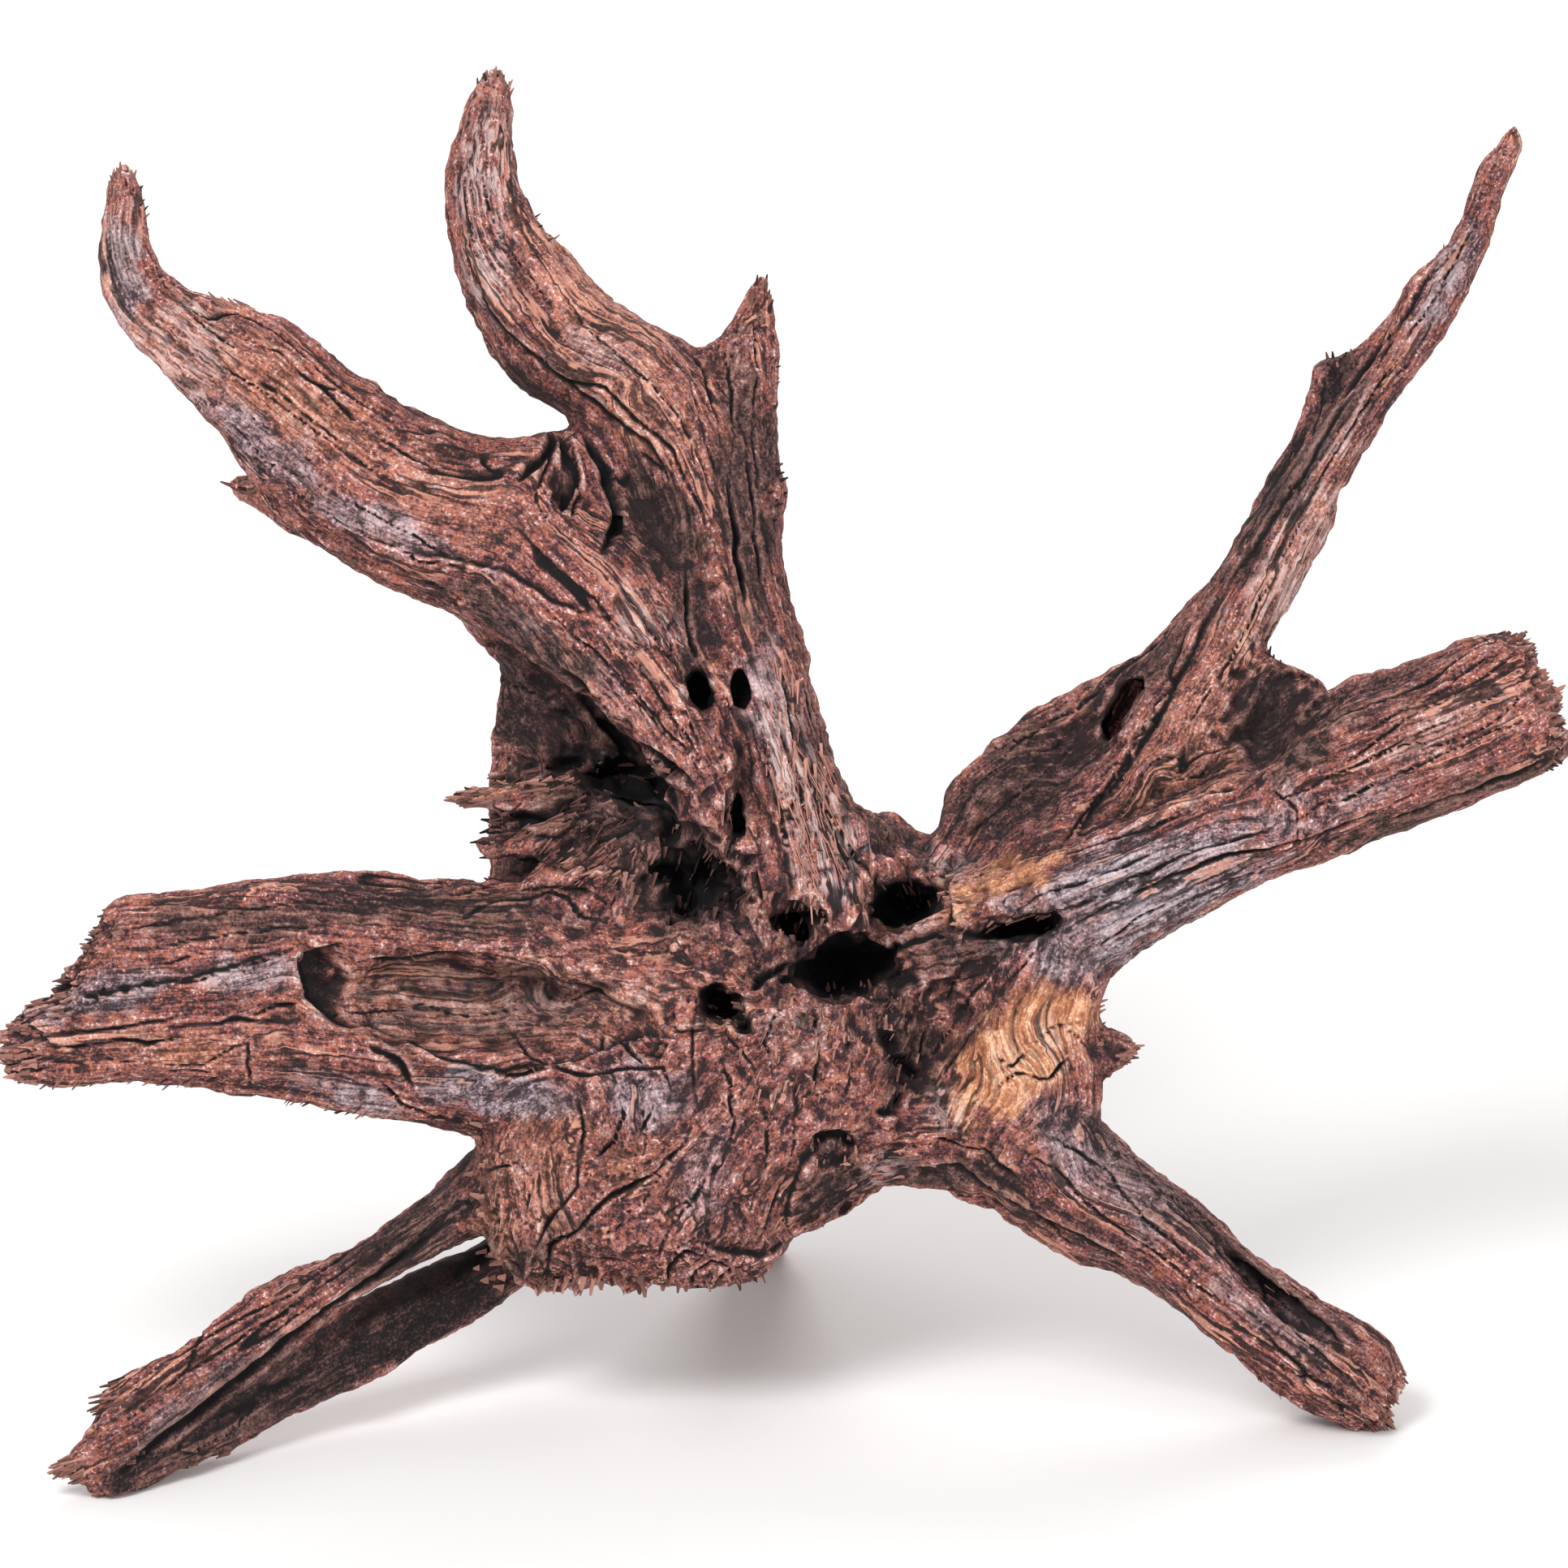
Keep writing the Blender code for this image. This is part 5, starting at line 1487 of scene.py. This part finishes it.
@dataclass
class Splinters:
    """Splinters and loose fibres, set on the wood by a node tree."""

    shortest: float = 0.3  # share of the drawn length
    longest: float = 0.85
    sides: int = 5
    tip: float = 0.16  # share of the width
    flatness: float = 0.4
    broadness: float = 1.5  # share of the drawn width
    spread: float = 0.26
    rise: float = 0.6  # share of the drawn lean
    rooted: float = 0.25  # share of the length that is inside the wood
    margin: float = 0.014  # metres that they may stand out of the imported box
    seed: int = 7

    def sizes(self) -> dict[str, float | int]:
        """The node tree's inputs by name."""
        return {
            "Shortest": self.shortest,
            "Longest": self.longest,
            "Flatness": self.flatness,
            "Sides": self.sides,
            "Seed": self.seed,
        }

    def anchors(self, wood: bpy.types.Object) -> bpy.types.Object:
        """Picks the places on the wood that splinters grow from.

        Args:
            wood: the finished wood.

        Returns:
            A mesh of loose points that carry the way, the length, the width and the tint of each splinter.
        """
        points, normals = read_points(wood.data), read_normals(wood.data)
        spots = DRAWING.to_pixels(DRAWING.from_frame(points))
        front = np.empty(len(points), np.float32)
        wood.data.attributes["front"].data.foreach_get("value", front)
        chance = np.random.default_rng(self.seed)
        rows = {"place": [], "way": [], "long": [], "wide": [], "base_tint": []}
        for fray in FRAYS:
            offset = (spots - (fray.x, fray.y)) / (fray.half_x, fray.half_y)
            near = np.flatnonzero(((offset**2).sum(axis=1) < 1.0) & (front > 0.25))
            if len(near) == 0:
                continue
            chosen = chance.choice(near, min(fray.count, len(near)), replace=False)
            angle = math.radians(fray.heading)
            heading = DRAWING.turn() @ np.array((math.cos(angle), 0.0, -math.sin(angle)))
            way = heading + self.rise * fray.lean * normals[chosen]
            way = way + self.spread * chance.normal(0.0, 0.6, (len(chosen), 3))
            way /= np.linalg.norm(way, axis=1)[:, None]
            rows["place"].append(points[chosen] - way * fray.length * self.rooted * MM)
            rows["way"].append(way)
            rows["long"].append(np.full(len(chosen), fray.length * MM))
            rows["wide"].append(np.full(len(chosen), fray.width * self.broadness * MM))
            rows["base_tint"].append(np.clip(fray.tint + chance.normal(0.0, 0.22, len(chosen)), 0.0, 1.0))
        joined = {name: np.concatenate(values).astype(np.float32) for name, values in rows.items()}
        mesh = bpy.data.meshes.new("splinters")
        mesh.from_pydata(joined.pop("place").tolist(), [], [])
        write_shades(mesh, joined)
        return add_object("splinters", mesh)

    def tree(self) -> bpy.types.NodeTree:
        """The node tree: a tapered sliver on every anchor, turned, sized and tinted by what that carries."""
        tree = bpy.data.node_groups.new("splinters", "GeometryNodeTree")
        sockets = [("Geometry", "OUTPUT", "Geometry"), ("Geometry", "INPUT", "Geometry")]
        for name, value in self.sizes().items():
            sockets.append((name, "INPUT", "Int" if isinstance(value, int) else "Float"))
        sockets.append(("Finish", "INPUT", "Material"))
        for name, side, kind in sockets:
            tree.interface.new_socket(name=name, in_out=side, socket_type=f"NodeSocket{kind}")
        given = add_node(tree, "NodeGroupInput").outputs
        carried = {}
        for name in ("way", "long", "wide", "base_tint"):
            kind = "FLOAT_VECTOR" if name == "way" else "FLOAT"
            node = add_node(tree, "GeometryNodeInputNamedAttribute", {"Name": name}, data_type=kind)
            carried[name] = node.outputs["Attribute"]
        values = {"Radius Top": self.tip, "Radius Bottom": 0.5, "Depth": 1.0}
        sliver = add_node(tree, "GeometryNodeMeshCone", values, {"Vertices": given["Sides"]})
        links = {2: given["Shortest"], 3: given["Longest"], "Seed": given["Seed"]}
        share = add_node(tree, "FunctionNodeRandomValue", None, links, data_type="FLOAT").outputs[1]
        products = []
        for first, second in ((carried["long"], share), (carried["wide"], given["Flatness"])):
            node = add_node(tree, MATH, None, {0: first, 1: second}, operation="MULTIPLY")
            products.append(node.outputs[0])
        length, thickness = products
        size = add_node(tree, "ShaderNodeCombineXYZ", None, {0: carried["wide"], 1: thickness, 2: length})
        turn = add_node(tree, "FunctionNodeAlignRotationToVector", None, {"Vector": carried["way"]}, axis="Z")
        links = {"Points": given["Geometry"], "Instance": sliver.outputs["Mesh"]}
        links |= {"Rotation": turn.outputs[0], "Scale": size.outputs[0]}
        placed = add_node(tree, "GeometryNodeInstanceOnPoints", None, links)
        links = {"Geometry": placed.outputs[0], "Value": carried["base_tint"]}
        kept = {"data_type": "FLOAT", "domain": "INSTANCE"}
        tinted = add_node(tree, "GeometryNodeStoreNamedAttribute", {"Name": "tint"}, links, **kept)
        real = add_node(tree, "GeometryNodeRealizeInstances", None, {"Geometry": tinted.outputs[0]})
        links = {"Geometry": real.outputs[0], "Material": given["Finish"]}
        coated = add_node(tree, "GeometryNodeSetMaterial", None, links)
        add_node(tree, "NodeGroupOutput", None, {"Geometry": coated.outputs[0]})
        return tree

    def build(self, wood: bpy.types.Object, finish: bpy.types.Material) -> bpy.types.Object:
        """Grows the splinters on the wood.

        Args:
            wood: the finished wood.
            finish: the splinters' material.

        Returns:
            The piece.
        """
        piece = self.anchors(wood)
        modifier = piece.modifiers.new("grow", "NODES")
        modifier.node_group = self.tree()
        sizes = {**self.sizes(), "Finish": finish}
        for item in modifier.node_group.interface.items_tree:
            if item.in_out == "INPUT" and item.name in sizes:
                modifier[item.identifier] = sizes[item.name]
        baked(piece)
        low, high = np.array(CAD_BOX)
        reach = (self.margin, self.margin, 0.0)  # none of it under the floor
        write_points(piece.data, np.clip(read_points(piece.data), low - reach, high + self.margin))
        return piece


@dataclass(frozen=True)
class RootWood:
    """Water-worn root wood: dense red-brown heartwood, leached and worn along its grain.

    It is dry and unsealed, so it hardly shines. Its fibres stand out light and its splits stay dark. Shade is
    painted into its colour: in hollows, closed places, pits, holes and the parts that lie in shade.
    """

    roughness: float = 0.82
    ior: float = 1.5
    bump: float = 0.4  # mm
    bump_strength: float = 0.9
    fibre_roughness: float = 0.55  # of the noises' fine detail
    speckle_roughness: float = 0.68
    # noises drawn out along the fibres: name, mm across, mm along, detail, shift
    drawn_out: tuple = (
        ("streaks", 1.3, 30.0, 3.0, 0.0),
        ("threads", 0.6, 9.0, 2.0, 5.0),
        ("bands", 6.0, 70.0, 2.0, 9.0),
        ("veins", 4.2, 90.0, 2.0, 13.0),
        ("cords", 2.0, 44.0, 1.0, 17.0),
        ("gate", 9.0, 42.0, 1.0, 21.0),
    )
    # noises with no direction: name, mm, detail; real fibre ends are finer than the speckle is drawn
    all_round: tuple = (("mottle", 1.0, 2.0), ("clouds", 17.0, 3.0), ("tinge", 2.6, 3.0))
    # sums: name, and what goes in with its share
    sums: tuple = (
        (
            "lift",
            ("streaks", 0.7),
            ("threads", 0.55),
            ("mottle", 1.15),
            ("bands", 0.5),
            ("clouds", 0.45),
            # painted shade: the colour grows darker in hollows
            ("hollow", -0.42),
        ),
        ("height", ("streaks", 0.6), ("threads", 0.5), ("mottle", 0.6)),
    )
    # how far a noise is from a level, for thin lines: name, noise, level
    gaps: tuple = (("vein_gap", "veins", 0.5), ("cord_gap", "cords", 0.5), ("edge_gap", "veins", 0.585))
    # masks: name, what they follow, from, to, their values there, and the mask that they are held within
    masks: tuple = (
        ("some", "gate", 0.48, 0.60, 0.0, 1.0, None),
        ("others", "gate", 0.58, 0.46, 0.0, 1.0, None),
        ("dull", "lift", 1.46, 1.80, 0.0, 1.0, None),
        ("bright", "lift", 1.70, 2.05, 0.0, 1.0, None),
        ("glint", "lift", 1.96, 2.22, 0.0, 0.95, None),
        ("patchy", "clouds", 0.3, 0.6, 0.5, 1.0, None),
        ("leached", "silver", 0.0, 1.0, 0.0, 1.0, "patchy"),
        ("broken", "torn", 0.1, 1.0, 0.0, 1.0, None),
        ("worn", "warm", 0.0, 0.9, 0.0, 1.0, "patchy"),
        ("rusty", "tinge", 0.50, 0.62, 0.0, 0.6, "dull"),
        ("greyed", "tinge", 0.48, 0.36, 0.0, 0.5, "dull"),
        ("strands", "streaks", 0.44, 0.58, 0.0, 0.85, None),
        ("rubbed", "pale", 0.0, 1.0, 0.0, 1.0, "strands"),
        ("vein", "vein_gap", 0.07, 0.02, 0.0, 0.85, "some"),
        ("cord", "cord_gap", 0.05, 0.015, 0.0, 0.5, "others"),
        ("edge", "edge_gap", 0.045, 0.0, 0.0, 0.7, "some"),
        ("raised", "hollow", 0.1, -0.35, 0.0, 0.8, None),
        ("fleck", "mottle", 0.61, 0.68, 0.0, 0.85, "raised"),
        # painted shade on the parts that lie in shade, broken up by blotches
        ("blotch", "clouds", 0.25, 0.55, 0.75, 1.0, None),
        ("wet", "shade", 0.0, 0.9, 0.0, 0.95, "blotch"),
        # painted shade: darker where the sky is closed and in hollows, black where it is nearly shut
        ("closed", "sky", 0.84, 0.24, 0.0, 0.88, None),
        ("low", "hollow", 0.18, 0.75, 0.0, 0.85, None),
        ("sealed", "sky", 0.30, 0.10, 0.0, 1.0, None),
        # dark cracks and splits, and the painted shade of the pits and of the edges
        ("split", "crack", 0.25, 0.7, 0.0, 1.0, None),
        # painted shade, nearly black, in the holes, broken up by a mottle
        ("shade_mottle", "mottle", 0.7, 0.4, 0.55, 0.95, None),
        ("sooty", "black_shade", 0.1, 0.9, 0.0, 1.0, "shade_mottle"),
    )
    # coats: name, the coat or colour below, the colour or coat on top, and the mask that it shows through
    coats: tuple = (
        ("body", "#33242A", "#8C5049", "dull"),
        ("body", "body", "#C0857B", "bright"),
        ("body", "body", "#EFD2CA", "glint"),
        ("clear", "#5A3A34", "#B87766", "dull"),
        ("clear", "clear", "#E0AD9B", "bright"),
        ("clear", "clear", "#F0D2C6", "glint"),
        ("body", "body", "clear", "worn"),
        ("body", "body", "#B2654A", "rusty"),
        ("body", "body", "#7D666D", "greyed"),
        ("grey", "#483D42", "#9C8A90", "dull"),
        ("grey", "grey", "#C6B7BC", "bright"),
        ("body", "body", "grey", "leached"),
        ("tan", "#AC6A4A", "#D08F68", "dull"),
        ("tan", "tan", "#F0BE98", "bright"),
        ("body", "body", "tan", "broken"),
        ("body", "body", "#E2CBC8", "rubbed"),
        ("body", "body", "#DD9F86", "edge"),
        ("body", "body", "#F6E8E4", "fleck"),
        # painted shade on the parts that lie in shade
        ("shade_coat", "#171213", "#493634", "dull"),
        ("shade_coat", "shade_coat", "#7E5C54", "bright"),
        ("body", "body", "shade_coat", "wet"),
        ("body", "body", "#1E1617", "cord"),
        ("body", "body", "#1A1213", "vein"),
        # painted shade where the sky is closed, in hollows, and black where it is nearly shut
        ("body", "body", "#2A1F20", "closed"),
        ("body", "body", "#2A1F20", "low"),
        ("body", "body", "#0E0A0B", "sealed"),
        # dark cracks and splits, and painted shade in the pits and along the edges
        ("body", "body", "#0E0A0B", "split"),
        # painted shade, nearly black, in the holes
        ("body", "body", "#100C0D", "sooty"),
    )

    def material(self) -> bpy.types.Material:
        """Builds the node material."""
        made = bpy.data.materials.new("water_worn_root_wood")
        made.use_nodes = True
        tree = made.node_tree
        tree.nodes.clear()
        found = {}
        for name in ("grain_mix", "hollow", "sky", "crack", *(tone.value for tone in Tone)):
            found[name] = add_node(tree, "ShaderNodeAttribute", attribute_name=name).outputs["Fac"]
        self.noises(tree, found)
        for name, *shares in self.sums:
            values, links = {2: 0.0}, {}  # a Math node's third input isn't 0 by itself
            for source, share in shares:
                values[1], links[0] = share, found[source]
                links[2] = add_node(tree, MATH, values, links, operation="MULTIPLY_ADD").outputs[0]
                values.pop(2, None)
            found[name] = links[2]
        for name, source, level in self.gaps:
            values, links = {1: level}, {0: found[source]}
            links = {0: add_node(tree, MATH, values, links, operation="SUBTRACT").outputs[0]}
            found[name] = add_node(tree, MATH, None, links, operation="ABSOLUTE").outputs[0]
        for name, source, low, high, to_low, to_high, within in self.masks:
            ends = {"From Min": low, "From Max": high, "To Min": to_low, "To Max": to_high}
            links = {"Value": found[source]}
            node = add_node(tree, "ShaderNodeMapRange", ends, links, interpolation_type="SMOOTHSTEP")
            mask = node.outputs[0]
            if within is not None:
                links = {0: mask, 1: found[within]}
                mask = add_node(tree, MATH, None, links, operation="MULTIPLY").outputs[0]
            found[name] = mask
        for name, below, above, mask in self.coats:
            colours = {6: below, 7: above}
            values = {i: linear(v) for i, v in colours.items() if v.startswith("#")}
            links = {i: found[v] for i, v in colours.items() if not v.startswith("#")}
            mixed = add_node(tree, "ShaderNodeMix", values, {0: found[mask], **links}, data_type="RGBA")
            found[name] = mixed.outputs[2]
        values = {"Strength": self.bump_strength, "Distance": self.bump * MM}
        bump = add_node(tree, "ShaderNodeBump", values, {"Height": found["height"]})
        values = {"Roughness": self.roughness, "IOR": self.ior, "Specular IOR Level": SPECULAR}
        links = {"Base Color": found["body"], "Normal": bump.outputs[0]}
        shader = add_node(tree, "ShaderNodeBsdfPrincipled", values, links)
        add_node(tree, "ShaderNodeOutputMaterial", None, {"Surface": shader.outputs[0]})
        return made

    def noises(self, tree: bpy.types.NodeTree, found: dict) -> None:
        """Adds the noises: drawn out along both of the nearest limbs and blended, or with no direction.

        Args:
            tree: the material's tree.
            found: the sockets by name, to read from and add to.
        """
        grains = [
            add_node(tree, "ShaderNodeAttribute", attribute_name=name).outputs["Vector"]
            for name in ("grain_a", "grain_b")
        ]
        for name, across, along, detail, shift in self.drawn_out:
            placing = {"Scale": (1 / along, 1 / across, 1 / across), "Location": (shift, shift, shift)}
            values = {"Scale": 1.0, "Detail": detail, "Roughness": self.fibre_roughness}
            pair = {0: found["grain_mix"]}
            for socket, grain in zip((2, 3), grains):
                placed = add_node(tree, "ShaderNodeMapping", placing, {"Vector": grain}).outputs[0]
                pair[socket] = add_node(tree, "ShaderNodeTexNoise", values, {"Vector": placed}).outputs["Fac"]
            found[name] = add_node(tree, "ShaderNodeMix", None, pair, data_type="FLOAT").outputs[0]
        objects = add_node(tree, "ShaderNodeTexCoord").outputs["Object"]
        for name, size, detail in self.all_round:
            values = {"Scale": 1.0 / (size * MM), "Detail": detail, "Roughness": self.speckle_roughness}
            found[name] = add_node(tree, "ShaderNodeTexNoise", values, {"Vector": objects}).outputs["Fac"]


@dataclass
class Studio:
    """A pale floor, soft lights and the camera."""

    distance: float = 5.0  # metres from the wood
    frame_width: float = 0.483  # metres of the drawing that the frame is wide
    sensor: float = 36.0
    floor_size: float = 30.0
    floor_colour: str = "#F4F3F2"

    def floor(self) -> bpy.types.Object:
        """The floor."""
        half = self.floor_size / 2
        mesh = bpy.data.meshes.new("floor")
        corners = [(-half, -half, 0.0), (half, -half, 0.0), (half, half, 0.0), (-half, half, 0.0)]
        mesh.from_pydata(corners, [], [(0, 1, 2, 3)])
        floor = add_object("floor", mesh)
        paint = bpy.data.materials.new("matt_backdrop_paper")
        paint.use_nodes = True
        shader = paint.node_tree.nodes["Principled BSDF"]
        shader.inputs["Base Color"].default_value = linear(self.floor_colour)
        shader.inputs["Roughness"].default_value = 0.95
        mesh.materials.append(paint)
        return floor

    def light(self, name: str, place: tuple, size: float, watts: float) -> None:
        """A square soft white light that looks at the wood.

        Args:
            name: the lamp's name.
            place: where it hangs, in metres.
            size: its side in metres.
            watts: how strong it is.
        """
        data = bpy.data.lights.new(name, "AREA")
        data.size = size
        data.energy = watts
        lamp = bpy.data.objects.new(name, data)
        lamp.location = place
        aim = Vector((0.0, 0.0, 0.17)) - Vector(place)
        lamp.rotation_euler = aim.to_track_quat("-Z", "Y").to_euler()
        bpy.context.scene.collection.objects.link(lamp)

    def lights(self) -> None:
        """A large key light over the front, a weaker one from the right, and an even sky."""
        self.light("key", (-0.9, -1.3, 1.9), 0.9, 34.0)
        self.light("fill", (1.6, -1.2, 0.9), 1.2, 12.0)
        self.light("rim", (0.3, 1.5, 1.6), 1.0, 16.0)
        world = bpy.data.worlds.new("studio")
        world.use_nodes = True
        sky = world.node_tree.nodes["Background"]
        sky.inputs["Color"].default_value = linear("#FFFFFF")
        sky.inputs["Strength"].default_value = 0.6
        bpy.context.scene.world = world

    def camera(self) -> None:
        """The camera, square on to the drawing."""
        right, away, up = DRAWING.turn().T
        middle = DRAWING.to_frame(np.zeros((1, 3)))[0]
        place = middle - away * self.distance
        data = bpy.data.cameras.new("camera")
        data.sensor_width = self.sensor
        data.lens = self.sensor * self.distance / self.frame_width
        data.clip_end = 100.0
        camera = bpy.data.objects.new("camera", data)
        columns = np.column_stack((right, up, -away, place))
        camera.matrix_world = Matrix([*columns.tolist(), (0.0, 0.0, 0.0, 1.0)])
        bpy.context.scene.collection.objects.link(camera)
        bpy.context.scene.camera = camera
        bpy.context.scene.view_settings.view_transform = "Standard"

    def build(self) -> None:
        """Sets the studio up."""
        self.floor()
        self.lights()
        self.camera()


def main() -> None:
    """Builds the wood, its splinters and the studio."""
    logging.basicConfig(level=logging.INFO, format="%(name)s: %(message)s")
    Studio().build()
    wood = Driftwood().build(RootWood().material())
    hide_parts(NODE)
    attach(wood, BODY)
    splinters = Splinters().build(wood, SplinterWood().material())
    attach(splinters, BODY)
    for piece in (wood, splinters):
        LOG.info("%s: %d faces", piece.name, len(piece.data.polygons))


if __name__ == "__main__":
    main()
